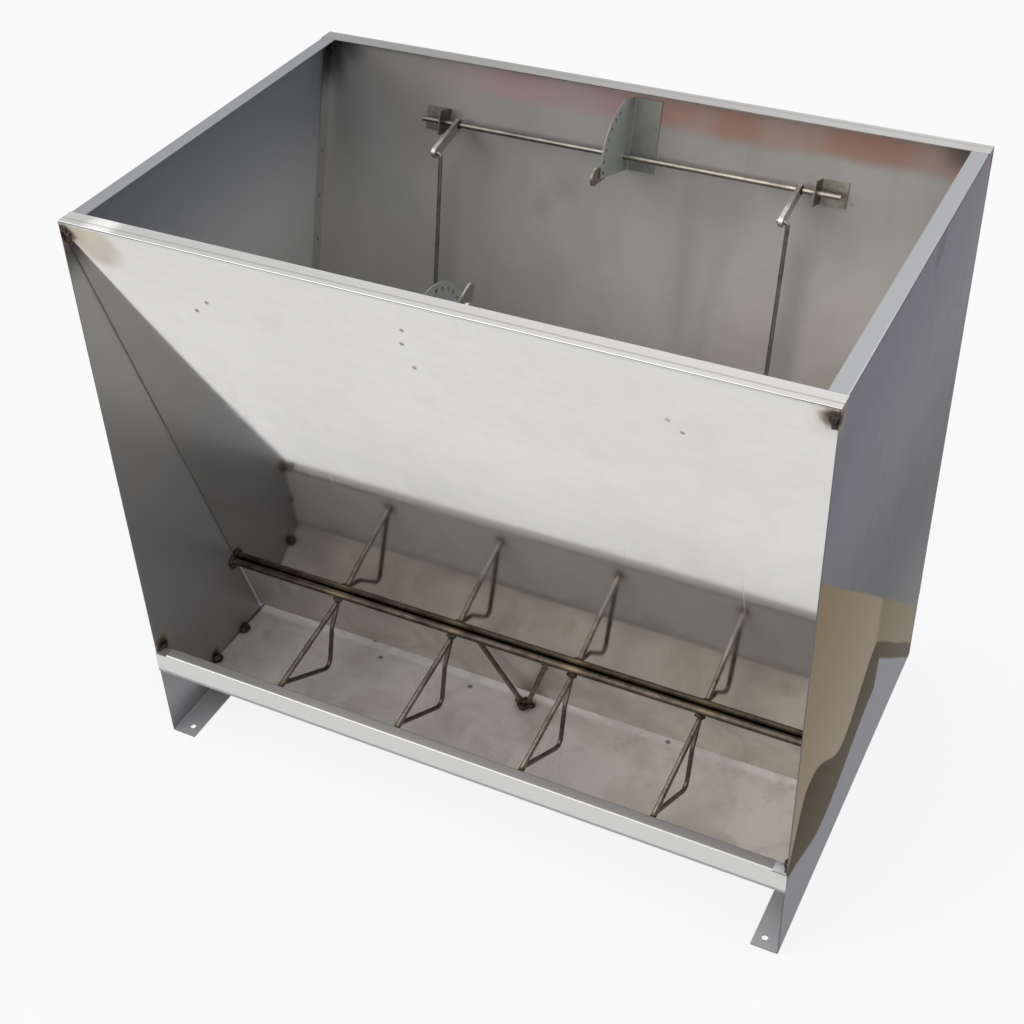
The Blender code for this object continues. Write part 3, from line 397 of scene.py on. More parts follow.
def hopper_panel_material():
    """Bright rolled sheet outside with painted reflections low down, duller and stained inside with painted
    shade and reflections, burnt where its corners are welded.
    """
    paint = Steel("hopper_sheet", (0.73, 0.72, 0.705), (0.69, 0.68, 0.66), 0.075, 5.0, 0.18, lines=0.02)
    x, y, z = paint.axes(paint.place)
    normal_x, _, normal_z = paint.axes(paint.facing)
    from_middle = paint.size(x)
    outside = paint.band(normal_z, -0.15, -0.25)
    rim = paint.band(normal_z, 0.8, 0.9)
    off_rim = paint.band(normal_z, 0.8, 0.7)
    depth = paint.product(paint.minus(HALF_DEPTH, paint.size(y)), math.cos(SLOPE))
    fallen = paint.product(paint.minus(HEIGHT, z), math.sin(SLOPE))
    inner_side = paint.band(paint.minus(depth, fallen), 0.0007, 0.0012)
    outer_side = paint.band(inner_side, 1.0, 0.0)

    # Outside: painted reflections, darker low down and warm along the lower edge, and a pale fold under the
    # rim
    dark_reflection = paint.product(paint.band(z, 0.76, 0.42), paint.band(x, -0.36, -0.26))
    paint.colour = paint.times(paint.colour, paint.band(dark_reflection, 0.0, 1.0, 1.0, 0.88))
    low = paint.product(paint.band(z, 0.362, 0.342), paint.band(x, -0.38, -0.30, 0.25, 1.0), outside)
    paint.stain(low, (0.44, 0.425, 0.375), 0.85)
    fold = paint.product(paint.band(normal_z, -0.15, 0.0), paint.band(normal_z, 0.97, 0.90),
                         paint.band(z, 0.894, 0.897), outer_side)
    paint.stain(fold, (0.62, 0.615, 0.605), 0.9, 0.5, 0.5)

    inside = paint.product(paint.band(normal_z, 0.15, 0.25), off_rim, inner_side)
    film_and_shade_hopper_inside(paint, x, z, inside)
    rim_shadow_and_red_band(paint, x, y, z, inside)
    tone_rims(paint, x, y, rim)

    # The flanges, the dark inner corners, and a seam line at each end outside
    paint.stain(paint.band(paint.size(normal_x), 0.6, 0.9), (0.66, 0.67, 0.70), 0.5)
    corner = paint.product(paint.band(from_middle, 0.458, 0.486), paint.band(z, 0.80, 0.872))
    spread = paint.product(paint.band(from_middle, 0.425, 0.462), paint.band(z, 0.852, 0.878, 0.0, 0.7))
    corner = paint.product(paint.largest([corner, spread]), inner_side, off_rim)
    paint.stain(corner, (0.062, 0.060, 0.058), 0.9, 0.45)
    seam = paint.product(paint.band(from_middle, 0.4955, 0.4972), outside)
    paint.stain(seam, (0.07, 0.062, 0.055), 0.85, 0.5, 0.3)

    # Heat tints and burns beside the welded outer corners, and the marks of the spot welds
    tinted = both_sides([on_panel(-0.462, 0.890), on_panel(-0.456, 0.870)])
    tinted = paint.near_any(tinted, 0.043, 0.25, 0.45)
    paint.stain(paint.product(tinted, outside), (0.40, 0.325, 0.235), 0.9)
    pale = paint.near_any(both_sides([on_panel(-0.455, 0.886)]), 0.018, 0.3, 0.2)
    paint.stain(paint.product(pale, outside), (0.62, 0.56, 0.37), 0.85)
    corners = both_sides([(side * 0.4935, -0.3215, 0.884) for side in ENDS])
    paint.weld_marks(corners, 0.018, 2.2, outer_side)
    spots = both_sides([on_panel(across, height) for across, height in SPOTS])
    paint.stain(paint.near_any(spots, 0.0042, 0.3, 0.55), (0.22, 0.21, 0.20), 0.4, 0.4)
    return paint.close(0.000003, 0.0011, 3.5)


def right_panel_floor_reflection(paint, x, y, z, normal_x):
    """Paints a warm reflection of the floor low on the right panel's outer face, browner at its foot.

    It ends in a crisp slanting line above bare steel. Its tint shows most where the sheet is seen edgeways.
    """
    outer = paint.product(paint.band(normal_x, 0.1, 0.4), paint.band(x, 0.0, 0.1))
    ragged = paint.product(paint.minus(paint.noise(6.0, 3.0, 0.5, 0.4), 0.5), 0.014)
    height = paint.plus(z, ragged)
    fall = paint.product(y, -0.87)
    level = paint.minus(height, fall)

    # The bare strip's upper edge dips between the front and the middle, and follows the slant behind it
    strip_top = paint.plus(paint.band(y, -0.16, 0.07, 0.100, 0.155), paint.band(y, -0.16, -0.33, 0.0, 0.055))
    strip_top = paint.between(paint.band(y, 0.064, 0.074), strip_top, paint.plus(fall, 0.273))
    above_strip = paint.band(paint.minus(height, strip_top), -0.003, 0.004)
    # Painted reflection of the floor: warm above the bare strip.
    floor_reflection = paint.product(paint.band(level, 0.389, 0.383), above_strip, outer)
    paint.stain(floor_reflection, (0.150, 0.138, 0.120), 0.9, 0.24)
    strip = paint.product(paint.minus(1.0, above_strip), outer)
    paint.stain(strip, (0.155, 0.155, 0.168), 0.9, 0.25)

    # The painted reflection's browner foot has a wavy upper edge, and follows the slant behind it
    browner_reflection_top = paint.band(y, -0.335, -0.27, 0.170, 0.280)
    browner_reflection_top = paint.plus(browner_reflection_top, paint.band(y, -0.25, -0.10, 0.0, -0.085))
    browner_reflection_top = paint.plus(browner_reflection_top, paint.band(y, -0.10, 0.04, 0.0, 0.077))
    browner_reflection_top = paint.between(paint.band(y, 0.030, 0.045), browner_reflection_top, paint.plus(fall, 0.305))
    browner_reflection = paint.product(paint.band(paint.minus(height, browner_reflection_top), 0.004, -0.003), floor_reflection)
    paint.stain(browner_reflection, (0.118, 0.105, 0.088), 0.9, 0.26)

    # The specular tint is darker low down, and warm and brown in the painted reflection.
    tint = paint.mix(paint.band(z, 0.34, 0.74), (0.36, 0.36, 0.365), (0.56, 0.56, 0.59))
    reflection_tint = paint.mix(paint.band(y, 0.02, 0.05), (0.62, 0.53, 0.41), (0.45, 0.38, 0.275))
    tint = paint.mix(floor_reflection, tint, reflection_tint)
    tint = paint.mix(strip, tint, (0.55, 0.55, 0.58))
    tint = paint.mix(browner_reflection, tint, (0.21, 0.175, 0.115))
    paint.put(paint.shader.inputs["Specular Tint"], tint)


def end_panel_material():
    """Darker cold-rolled sheet with an upright grain, bluish inside, a painted reflection of the floor low on
    the right panel's outer face, and weld burns.
    """
    paint = Steel("end_sheet", (0.160, 0.160, 0.173), (0.142, 0.142, 0.153), 0.25, 4.0, 0.2, seed=2.0,
                  lines=0.02, sheen=0.03, along=(0.0, 0.0, 1.0))
    x, y, z = paint.axes(paint.place)
    normal_x, _, normal_z = paint.axes(paint.facing)
    rim = paint.band(paint.size(normal_z), 0.6, 0.9)
    rim_tone = paint.mix(paint.band(x, -0.1, 0.1), (0.40, 0.41, 0.425), (0.51, 0.515, 0.53))
    paint.stain(rim, rim_tone, 0.92, 0.24)

    # Inside: bluish and darker high up in the hopper, lighter lower down, and warmer grey in front of its
    # panels
    inner = paint.band(paint.product(normal_x, x), -0.05, -0.2)
    slope_y = paint.product(paint.minus(HEIGHT, z), math.tan(SLOPE))
    within = paint.minus(paint.minus(HALF_DEPTH, slope_y), paint.size(y))
    hopper = paint.mix(paint.band(z, 0.87, 0.64), (0.310, 0.325, 0.365), (0.74, 0.74, 0.74))
    outer_part = paint.mix(paint.band(z, 0.30, 0.75), (0.31, 0.31, 0.32), (0.40, 0.385, 0.355))
    film = paint.mix(paint.band(within, -0.001, 0.001), outer_part, hopper)
    paint.stain(inner, film, 0.92, 0.36, 0.5)

    right_panel_floor_reflection(paint, x, y, z, normal_x)

    # Dark inner corners, foot flanges made pale and dull as painted light against their shade, a dark seam
    # along the trough floor, and the weld burns
    corner = paint.product(paint.band(within, 0.035, 0.004), paint.band(z, 0.80, 0.86), inner)
    paint.stain(corner, (0.055, 0.052, 0.052), 0.92, 0.45)
    foot = paint.product(rim, paint.band(z, 0.010, 0.004))
    paint.stain(foot, (0.60, 0.605, 0.61), 0.8, 0.45, 0.6)
    seam = paint.product(paint.band(z, 0.054, 0.049), paint.band(paint.size(y), 0.20, 0.10), inner)
    paint.stain(seam, BURN_AND_SHADE, 0.75, 0.5, 0.3)
    burns = ((-0.3215, 0.885), (BAR.y, BAR.z - 0.004), (-0.119, 0.050), (-0.197, 0.052), (-0.307, 0.174))
    burns = both_sides([(side * INNER_X, outward, height) for side in ENDS for outward, height in burns])
    paint.weld_marks(burns, 0.017, 1.8, paint.largest([inner, paint.band(z, 0.84, 0.86)]))
    return paint.close(0.000001, 0.0009, 3.0)


def trough_material():
    """Beige-grey trough sheet: dull and dirty on the floors, brighter along the lips, burnt at welds."""
    paint = Steel("trough_sheet", (0.50, 0.48, 0.445), (0.41, 0.395, 0.36), 0.32, 8.0, 0.7, seed=5.0)
    x, y, z = paint.axes(paint.place)
    out = paint.size(y)
    cloud = paint.noise(11.0, 5.0, 0.6, 0.6, move=(1.0, 4.0, 2.0))
    film = paint.mix(paint.band(cloud, 0.35, 0.65), (0.585, 0.545, 0.505), (0.73, 0.695, 0.655))
    film = paint.times(film, paint.band(x, -0.45, 0.45, 0.93, 1.22), paint.band(x, -0.28, -0.40, 1.0, 1.25),
                       paint.band(x, 0.28, 0.42, 1.0, 1.16))

    # Floors and walls lie within the lips; a lip has a painted reflection darker on top and painted shade
    # along its lower edge
    within = paint.band(out, 0.3065, 0.3045)
    # Painted light: the walls' near-white colour brightens them and their reflection in the hopper panels.
    wall = paint.product(paint.band(out, 0.232, 0.240), paint.band(z, 0.046, 0.060), within)
    paint.stain(paint.minus(within, wall), film, 0.95, 0.50, 0.68)
    paint.stain(wall, (0.96, 0.95, 0.96), 0.95, 0.55, 0.78)
    lip = paint.band(out, 0.3045, 0.3065)
    paint.stain(lip, (0.69, 0.685, 0.68), 0.85, 0.22)
    # Painted reflection: the lip's top is darker.
    lip_top = paint.product(lip, paint.band(paint.axes(paint.facing)[2], 0.7, 0.95))
    paint.stain(lip_top, (0.32, 0.312, 0.305), 0.95, 0.42, 0.65)
    # Painted shade: a dark line along the lip's lower edge.
    lip_edge = paint.product(lip, paint.band(z, 0.1385, 0.1355))
    paint.stain(lip_edge, (0.30, 0.30, 0.305), 0.8, 0.4)

    low = paint.band(z, 0.125, 0.055)
    dirt = paint.noise(17.0, 6.0, 0.65, 0.8, move=(2.0, 2.0, 2.0))
    paint.stain(paint.product(paint.band(dirt, 0.5, 0.75), low), (0.30, 0.27, 0.225), 0.35, 0.55)
    # Painted shade: darker along the crease where the floor meets the wall.
    crease = paint.band(paint.size(paint.minus(out, WALL_FOOT)), 0.012, 0.002)
    paint.stain(paint.product(crease, low), (0.36, 0.345, 0.33), 0.25, 0.5)

    paint.weld_marks(both_sides([BRACE_FOOT]), 0.018, 1.6)
    ends = ((-0.119, 0.046), (-0.197, 0.046), (-0.308, 0.169))
    ends = [(side * 0.496, outward, height) for side in ENDS for outward, height in ends]
    paint.weld_marks(both_sides(at_dividers(DIVIDER_LOW) + ends), 0.011, 2.0)
    spatter = ((-0.285, -0.050, 0.045), (-0.257, -0.082, 0.045), (-0.095, -0.082, 0.045),
               (0.232, -0.061, 0.045))
    paint.stain(paint.near_any(spatter, 0.0055, 0.4, 0.5), BURN_AND_SHADE, 0.75, 0.55, 0.4)
    return paint.close(0.00002, 0.0010, 5.0, 0.00006)


def gate_material():
    """Dull gate sheet with a feed-dust film."""
    paint = Steel("gate_sheet", (0.46, 0.44, 0.40), (0.37, 0.355, 0.32), 0.34, 7.0, 0.8, seed=9.0)
    cloud = paint.noise(12.0, 5.0, 0.6, 0.6, move=(7.0, 4.0, 2.0))
    film = paint.mix(paint.band(cloud, 0.35, 0.65), (0.36, 0.34, 0.30), (0.47, 0.445, 0.40))
    x = paint.axes(paint.place)[0]
    film = paint.times(film, paint.band(x, -0.20, 0.42, 1.10, 1.55))
    paint.stain(paint.band(cloud, 0.1, 0.3), film, 0.9, 0.48, 0.6)
    return paint.close(0.00001, 0.0008, 5.0)


def rod_material(name, light, dark, rough, rust, clouds, seed=0.0, welds=None, ends=(0.75, 1.25)):
    """Drawn rod: grain along its length, brown scale and rust in patches, burnt at its welds.

    Welds are given as their points and a radius, and ends as the tones at the rod's left and right ends:
    painted shade to the left, painted light to the right.
    """
    paint = Steel(name, light, dark, rough, clouds, 0.4, seed, lines=0.07)
    x = paint.axes(paint.place)[0]
    # Painted light: the rod darkens towards its left end and lightens towards its right end.
    paint.colour = paint.times(paint.colour, paint.band(x, -0.45, 0.45, *ends))
    scale = paint.noise(34.0, 6.0, 0.7, 1.0, move=(seed, 1.0, seed))
    paint.stain(paint.band(scale, 0.46, 0.66), SCALE, rust, 0.5, 0.25)
    specks = paint.noise(210.0, 4.0, 0.6, 0.3, move=(seed, 0.0, 2.0))
    paint.stain(paint.band(specks, 0.60, 0.68), RUST, 0.5 * rust, 0.55, 0.3)
    if welds:
        paint.weld_marks(*welds)
    return paint.close(0.00003, 0.0, 5.0, 0.00012)


def quadrant_material():
    """Greenish grey plate with painted shade inside its lock holes, and small dark spots on its flange."""
    paint = Steel("quadrant_plate", (0.50, 0.525, 0.51), (0.42, 0.445, 0.43), 0.36, 22.0, 0.4, seed=8.0,
                  lines=0.05)
    y = paint.axes(paint.place)[1]
    plate = paint.band(paint.size(paint.axes(paint.facing)[0]), 0.5, 0.8)
    cloud = paint.noise(20.0, 4.0, 0.6, 0.4, move=(2.0, 6.0, 1.0))
    flange = paint.mix(paint.band(cloud, 0.35, 0.65), (0.20, 0.20, 0.175), (0.26, 0.26, 0.23))
    tone = paint.mix(paint.band(y, -0.01, 0.01), (0.35, 0.36, 0.345), (0.47, 0.495, 0.475))
    film = paint.mix(plate, flange, tone)
    paint.stain(paint.band(cloud, 0.0, 0.2), film, 0.9, 0.44, 0.5)
    specks = paint.noise(160.0, 2.0, 0.5)
    paint.stain(paint.band(specks, 0.68, 0.74), BURN_AND_SHADE, 0.5, 0.5, 0.3)
    # Painted shade: dark rings inside the lock holes.
    holes = []
    for lock in LOCK_ANGLES:
        offset = INWARD * (LOCK_CIRCLE * math.cos(lock)) + UP_SLOPE * (LOCK_CIRCLE * math.sin(lock))
        holes.append(SHAFT + offset + ALONG * QUADRANT_X)
    paint.stain(paint.near_any(both_sides(holes), 0.0034, 0.08, 0.75), BURN_AND_SHADE, 0.9, 0.6, 0.5)
    return paint.close(0.00003, 0.0, 5.0, 0.0001)


def lever_material():
    """Lever plate: bare beige-grey on the front side, browner on the back side."""
    paint = Steel("lever_plate", (0.50, 0.47, 0.43), (0.36, 0.335, 0.305), 0.38, 30.0, 0.4, seed=2.5,
                  lines=0.07)
    back = paint.band(paint.axes(paint.place)[1], -0.01, 0.01)
    scale = paint.noise(34.0, 6.0, 0.7, 1.0, move=(2.5, 1.0, 2.5))
    paint.stain(paint.product(paint.band(scale, 0.30, 0.55), back), (0.27, 0.20, 0.17), 0.8, 0.45, 0.2)
    paint.stain(paint.band(scale, 0.52, 0.70), SCALE, 0.45, 0.5, 0.25)
    return paint.close(0.00003, 0.0, 5.0, 0.00012)


def weld_material():
    """Burnt weld metal: scaly brown and black with dull grey beads showing through."""
    paint = Steel("weld_metal", (0.115, 0.098, 0.083), (0.048, 0.038, 0.032), 0.45, 60.0, 0.8, seed=8.0)
    scale = paint.noise(260.0, 6.0, 0.7, 0.8)
    paint.stain(paint.band(scale, 0.42, 0.60), BURN_AND_SHADE, 0.75, 0.6, 0.35)
    flakes = paint.noise(420.0, 4.0, 0.7, 0.6, move=(3.0, 0.0, 1.0))
    paint.stain(paint.band(flakes, 0.56, 0.66), RUST, 0.8, 0.65, 0.5)
    return paint.close(0.00004, 0.0, 5.0, 0.0005)


def make_finishes():
    """Makes every finish by its material slot."""
    feet = both_sides([BRACE_FOOT])
    bar_welds = both_sides(at_dividers(DIVIDER_TOP) + [(side * INNER_X, BAR.y, BAR.z) for side in ENDS])
    rod_welds = (both_sides(at_dividers(DIVIDER_TOP) + at_dividers(DIVIDER_LOW)), 0.012)
    return {
        "end_panel_steel": end_panel_material(),
        "hopper_panel_steel": hopper_panel_material(),
        "trough_steel": trough_material(),
        "gate_steel": gate_material(),
        "gate_lug_steel": rod_material(
            "lug_plate", (0.44, 0.42, 0.38), (0.33, 0.31, 0.28), 0.36, 0.4, 30.0, 3.0),
        "guard_bar_steel": rod_material(
            "guard_bar_rod", (0.125, 0.103, 0.087), (0.050, 0.040, 0.033), 0.30, 0.75, 22.0, 1.0,
            (bar_welds, 0.013)),
        "divider_steel": rod_material(
            "divider_rod", (0.36, 0.335, 0.30), (0.20, 0.18, 0.16), 0.30, 0.5, 26.0, 4.0, rod_welds),
        "divider_loop_steel": rod_material(
            "loop_rod", (0.20, 0.18, 0.165), (0.10, 0.085, 0.075), 0.34, 0.6, 26.0, 6.0, rod_welds),
        "brace_steel": rod_material(
            "brace_rod", (0.24, 0.20, 0.17), (0.12, 0.095, 0.08), 0.42, 0.8, 26.0, 7.0, (feet, 0.022)),
        "bracket_steel": rod_material(
            "bracket_plate", (0.31, 0.30, 0.25), (0.21, 0.20, 0.165), 0.38, 0.35, 30.0, 2.0),
        "quadrant_steel": quadrant_material(),
        "shaft_steel": rod_material(
            "shaft_rod", (0.385, 0.365, 0.32), (0.26, 0.245, 0.21), 0.34, 0.25, 30.0, 5.0,
            ends=(0.45, 1.55)),
        "crank_steel": rod_material(
            "crank_plate", (0.70, 0.67, 0.62), (0.57, 0.545, 0.50), 0.36, 0.15, 30.0, 1.5),
        "lever_steel": lever_material(),
        "lock_pin_steel": rod_material(
            "lock_pin_turned", (0.72, 0.71, 0.68), (0.58, 0.57, 0.54), 0.22, 0.1, 40.0, 3.5),
        "pull_rod_steel": rod_material(
            "pull_rod_wire", (0.36, 0.36, 0.36), (0.22, 0.22, 0.215), 0.32, 0.35, 26.0, 9.5),
    }


# Carried-over nodes


def shading_group():
    """Makes the modifier that joins a node's split corners and shades its round faces smooth."""
    group = bpy.data.node_groups.new("round_shading", "GeometryNodeTree")
    group.interface.new_socket("Geometry", in_out="INPUT", socket_type="NodeSocketGeometry")
    group.interface.new_socket("Geometry", in_out="OUTPUT", socket_type="NodeSocketGeometry")
    nodes = group.nodes
    start = nodes.new("NodeGroupInput")
    end = nodes.new("NodeGroupOutput")
    joined = nodes.new("GeometryNodeMergeByDistance")
    joined.inputs["Distance"].default_value = JOIN_DISTANCE
    plain = nodes.new("GeometryNodeRemoveAttribute")
    plain.inputs["Name"].default_value = "custom_normal"
    faces = nodes.new("GeometryNodeSetShadeSmooth")
    faces.domain = "FACE"
    edges = nodes.new("GeometryNodeSetShadeSmooth")
    edges.domain = "EDGE"
    bend = nodes.new("GeometryNodeInputMeshEdgeAngle")
    gentle = nodes.new("FunctionNodeCompare")
    gentle.data_type = "FLOAT"
    gentle.operation = "LESS_THAN"
    gentle.inputs[1].default_value = ROUND_BEND
    links = group.links
    links.new(start.outputs[0], joined.inputs["Geometry"])
    links.new(joined.outputs["Geometry"], plain.inputs["Geometry"])
    links.new(plain.outputs["Geometry"], faces.inputs["Geometry"])
    links.new(faces.outputs["Geometry"], edges.inputs["Geometry"])
    links.new(bend.outputs["Unsigned Angle"], gentle.inputs[0])
    links.new(gentle.outputs[0], edges.inputs["Shade Smooth"])
    links.new(edges.outputs["Geometry"], end.inputs[0])
    return group


def dress_nodes(finishes):
    """Gives every carried-over node its finish and smooth shading on its round faces."""
    group = shading_group()
    for node in NODES.values():
        slot_name = node.material_slots[0].material.name.split(".")[0]
        node.material_slots[0].material = finishes[slot_name]
        modifier = node.modifiers.new("round_shading", "NODES")
        modifier.node_group = group


# Shapes of weld metal


def line(first, last, count):
    """Gives points along a straight run."""
    return [Vector(first).lerp(Vector(last), step / (count - 1)) for step in range(count)]


def circle(centre, normal, radius, count):
    """Gives points round a circle."""
    normal = Vector(normal).normalized()
    across = normal.orthogonal().normalized()
    along = normal.cross(across)
    points = []
    for step in range(count):
        angle = 2.0 * math.pi * step / count
        points.append(Vector(centre) + (across * math.cos(angle) + along * math.sin(angle)) * radius)
    return points


def skin(shape, rings):
    """Joins each ring of vertices to the next one with faces."""
    for first, second in zip(rings, rings[1:]):
        count = len(first)
        for step in range(count):
            following = (step + 1) % count
            shape.faces.new((first[step], first[following], second[following], second[step]))


def bead(shape, path, radius, seed, flat=1.0, up=UPRIGHT, closed=False):
    """Adds a lumpy run of weld metal along a path: one ripple after another, uneven in width."""
    chance = random.Random(seed)
    sides = 10
    last = len(path) - 1
    rings = []
    for index, point in enumerate(path):
        before = path[index - 1] if index or closed else path[0]
        after = path[(index + 1) % len(path)] if index < last or closed else path[last]
        heading = (after - before).normalized()
        across = heading.cross(up)
        across = across.normalized() if across.length > 1e-6 else heading.orthogonal().normalized()
        above = across.cross(heading)
        swell = 0.86 + 0.28 * (index % 2) + chance.uniform(-0.16, 0.16)
        if not closed and index in (0, last):
            swell *= 0.35
        ring = []
        for step in range(sides):
            angle = 2.0 * math.pi * step / sides
            place = point + (across * math.cos(angle) + above * math.sin(angle) * flat) * radius * swell
            place += field.noise_vector(place * 420.0) * radius * 0.22
            ring.append(shape.verts.new(place))
        rings.append(ring)
    if closed:
        skin(shape, rings + rings[:1])
    else:
        skin(shape, rings)
        shape.faces.new(list(reversed(rings[0])))
        shape.faces.new(rings[-1])


def blob(shape, centre, radii, seed):
    """Adds a lump of weld metal, pitted and uneven."""
    made = bmesh.ops.create_icosphere(shape, subdivisions=3, radius=1.0)
    shift = Vector((seed * 1.7, seed * 0.9, seed * 2.3))
    for vertex in made["verts"]:
        lump = 1.0 + 0.34 * field.noise(vertex.co * 1.6 + shift) + 0.12 * field.noise(vertex.co * 5.0 + shift)
        vertex.co = Vector(centre) + Vector([vertex.co[axis] * radii[axis] for axis in range(3)]) * lump


def dome(shape, centre, normal, radius, height):
    """Adds the shallow dome of a spot weld that stands on a sheet."""
    normal = Vector(normal).normalized()
    rings = []
    for share, lift in ((1.0, -0.2), (0.93, 0.45), (0.72, 0.85), (0.38, 0.55)):
        ring = circle(Vector(centre) + normal * height * lift, normal, radius * share, 20)
        rings.append([shape.verts.new(point) for point in ring])
    skin(shape, rings)
    shape.faces.new(rings[-1])
    shape.faces.new(list(reversed(rings[0])))


def make_piece(name, body, material, fill, *places):
    """Makes a piece of what fill adds, kept just inside the part's outline, and sets it on a body."""
    shape = bmesh.new()
    fill(shape, *places)
    for vertex in shape.verts:
        vertex.co.x = max(-HALF_LENGTH + SKIN, min(HALF_LENGTH - SKIN, vertex.co.x))
        vertex.co.y = max(-HALF_DEPTH + SKIN, min(HALF_DEPTH - SKIN, vertex.co.y))
    bmesh.ops.recalc_face_normals(shape, faces=shape.faces)
    mesh = bpy.data.meshes.new(name)
    shape.to_mesh(mesh)
    shape.free()
    for face in mesh.polygons:
        face.use_smooth = True
    piece = bpy.data.objects.new(name, mesh)
    bpy.context.scene.collection.objects.link(piece)
    piece.data.materials.append(material)
    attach(piece, body)


# Welds of one side: a function's name is its piece's name, and its seeds keep the lumps from looking alike


def divider_top_welds(shape, angle):
    """Joins the dividers to the guard bar, with a lump on each side of a divider and one below."""
    joint = BAR + (DIVIDER_TOP - BAR).normalized() * (BAR_RADIUS + 0.0002)
    for index, x in enumerate(DIVIDER_X):
        for side in ENDS:
            place = joint + Vector((x + side * 0.0035, 0.0, 0.0))
            blob(shape, turned(place, angle), (0.0054, 0.0044, 0.0044), index * 3.0 + side)
        place = BAR + Vector((x, -0.0048, -0.0062))
        blob(shape, turned(place, angle), (0.0078, 0.0046, 0.0044), index * 5.0 + 2.0)


def divider_low_welds(shape, angle):
    """Joins the dividers to the trough wall, and the bent rods to the dividers at both ends."""
    rise = (DIVIDER_TOP - DIVIDER_LOW).normalized()
    for index, x in enumerate(DIVIDER_X):
        low = DIVIDER_LOW + ALONG * x
        loop_low = low + rise * 0.0105 + Vector((0.0, -0.0005, -0.0040))
        loop_top = low + rise * 0.1762 + Vector((0.0, -0.0010, -0.0048))
        blob(shape, turned(low + rise * 0.0010, angle), (0.0056, 0.0032, 0.0054), index * 2.0 + 11.0)
        blob(shape, turned(loop_low, angle), (0.0034, 0.0040, 0.0026), index + 31.0)
        blob(shape, turned(loop_top, angle), (0.0034, 0.0042, 0.0028), index + 51.0)


def guard_bar_end_welds(shape, angle):
    """Rings both ends of the guard bar, with a lump below."""
    for index, side in enumerate(ENDS):
        ring = circle((side * 0.4964, BAR.y, BAR.z), ALONG, BAR_RADIUS + 0.0012, 22)
        bead(shape, turned_all(ring, angle), 0.0030, 5 + index, closed=True, up=ALONG)
        below = (side * 0.4960, BAR.y - 0.0030, BAR.z - 0.0075)
        blob(shape, turned(below, angle), (0.0052, 0.0066, 0.0050), index + 41.0)


def brace_foot_weld(shape, angle):
    """Rings the foot of the brace on the trough floor and heaps metal round it."""
    ring = circle(BRACE_FOOT + UPRIGHT * 0.0022, UPRIGHT, 0.0088, 18)
    bead(shape, turned_all(ring, angle), 0.0038, 21, 0.75, closed=True)
    lumps = ((-0.011, 0.002), (0.0115, -0.001), (0.001, -0.010), (0.0, 0.0))
    for index, (across, outward) in enumerate(lumps):
        place = BRACE_FOOT + Vector((across, outward, 0.0032))
        blob(shape, turned(place, angle), (0.0060, 0.0056, 0.0036), index + 71.0)


def brace_top_welds(shape, angle):
    """Joins both upper ends of the brace to the underside of the guard bar."""
    spread = (BAR - BRACE_FOOT).length * math.tan(BRACE_LEAN) - 0.0030
    under = BAR + (BRACE_FOOT - BAR).normalized() * (BAR_RADIUS + 0.0010)
    for index, side in enumerate(ENDS):
        blob(shape, turned(under + ALONG * (side * spread), angle), (0.0062, 0.0042, 0.0036), index + 81.0)


def trough_end_welds(shape, angle):
    """Tacks the trough's ends to the end panels: twice on the floor, once on the wall and once at the lip."""
    for index, side in enumerate(ENDS):
        x = side * (INNER_X - 0.0012)
        for number, y in enumerate((-0.119, -0.1975)):
            run = line((x, y - 0.010, FLOOR + 0.001), (x, y + 0.010, FLOOR + 0.001), 9)
            bead(shape, turned_all(run, angle), 0.0038, 31 + index + 10 * number)
            place = (x - side * 0.0020, y, FLOOR + 0.003)
            blob(shape, turned(place, angle), (0.0078, 0.0100, 0.0075), index + 2.0 * number + 95.0)
        wall = line((x, -0.2720, 0.1090), (x, -0.2640, 0.0950), 8)
        bead(shape, turned_all(wall, angle), 0.0026, 51 + index)
        lip = line((side * 0.4965, -0.2985, 0.1725), (side * 0.4965, -0.3205, 0.1680), 10)
        bead(shape, turned_all(lip, angle), 0.0028, 61 + index)
        blob(shape, turned((side * 0.4950, -0.3070, 0.1710), angle), (0.0044, 0.0062, 0.0040), index + 91.0)


def rim_corner_welds(shape, angle):
    """Joins the hopper panel's top corners to the end panels with a run and three lumps each."""
    lumps = ((0.006, 0.890), (0.008, 0.882), (0.005, 0.874))
    for index, side in enumerate(ENDS):
        run = line((side * 0.4955, -0.3222, 0.8950), (side * 0.4955, -0.3150, 0.8700), 14)
        bead(shape, turned_all(run, angle), 0.0030, 71 + index)
        for number, (inset, height) in enumerate(lumps):
            place = on_panel(side * (HALF_LENGTH - inset), height)
            blob(shape, turned(place, angle), (0.0055, 0.0030, 0.0060), index + 3.0 * number + 61.0)


def panel_spot_welds(shape, angle):
    """Marks the brackets' and the quadrant's spot welds on the hopper panel's outer face."""
    for across, height in SPOTS:
        dome(shape, turned(on_panel(across, height), angle), turned(-INWARD, angle), SPOT_RADIUS, SPOT_HEIGHT)


def flange_spot_welds(shape, angle):
    """Marks the row of spot welds down each end flange of the hopper panel, inside the hopper."""
    for side in ENDS:
        for step in range(9):
            place = on_panel(side * (INNER_X - 0.0018), 0.728 - 0.066 * step, SHEET + 0.011)
            dome(shape, turned(place, angle), turned(ALONG * -side, angle), 0.0028, SPOT_HEIGHT)


def crank_welds(shape, angle):
    """Rings the shaft on both faces of each crank arm."""
    for index, crank_x in enumerate((-CRANK_X, CRANK_X)):
        for side in ENDS:
            centre = (crank_x + side * (HALF_CRANK + 0.0004), SHAFT.y, SHAFT.z)
            ring = turned_all(circle(centre, ALONG, 0.0047, 16), angle)
            bead(shape, ring, 0.0015, 81 + index, closed=True, up=ALONG)


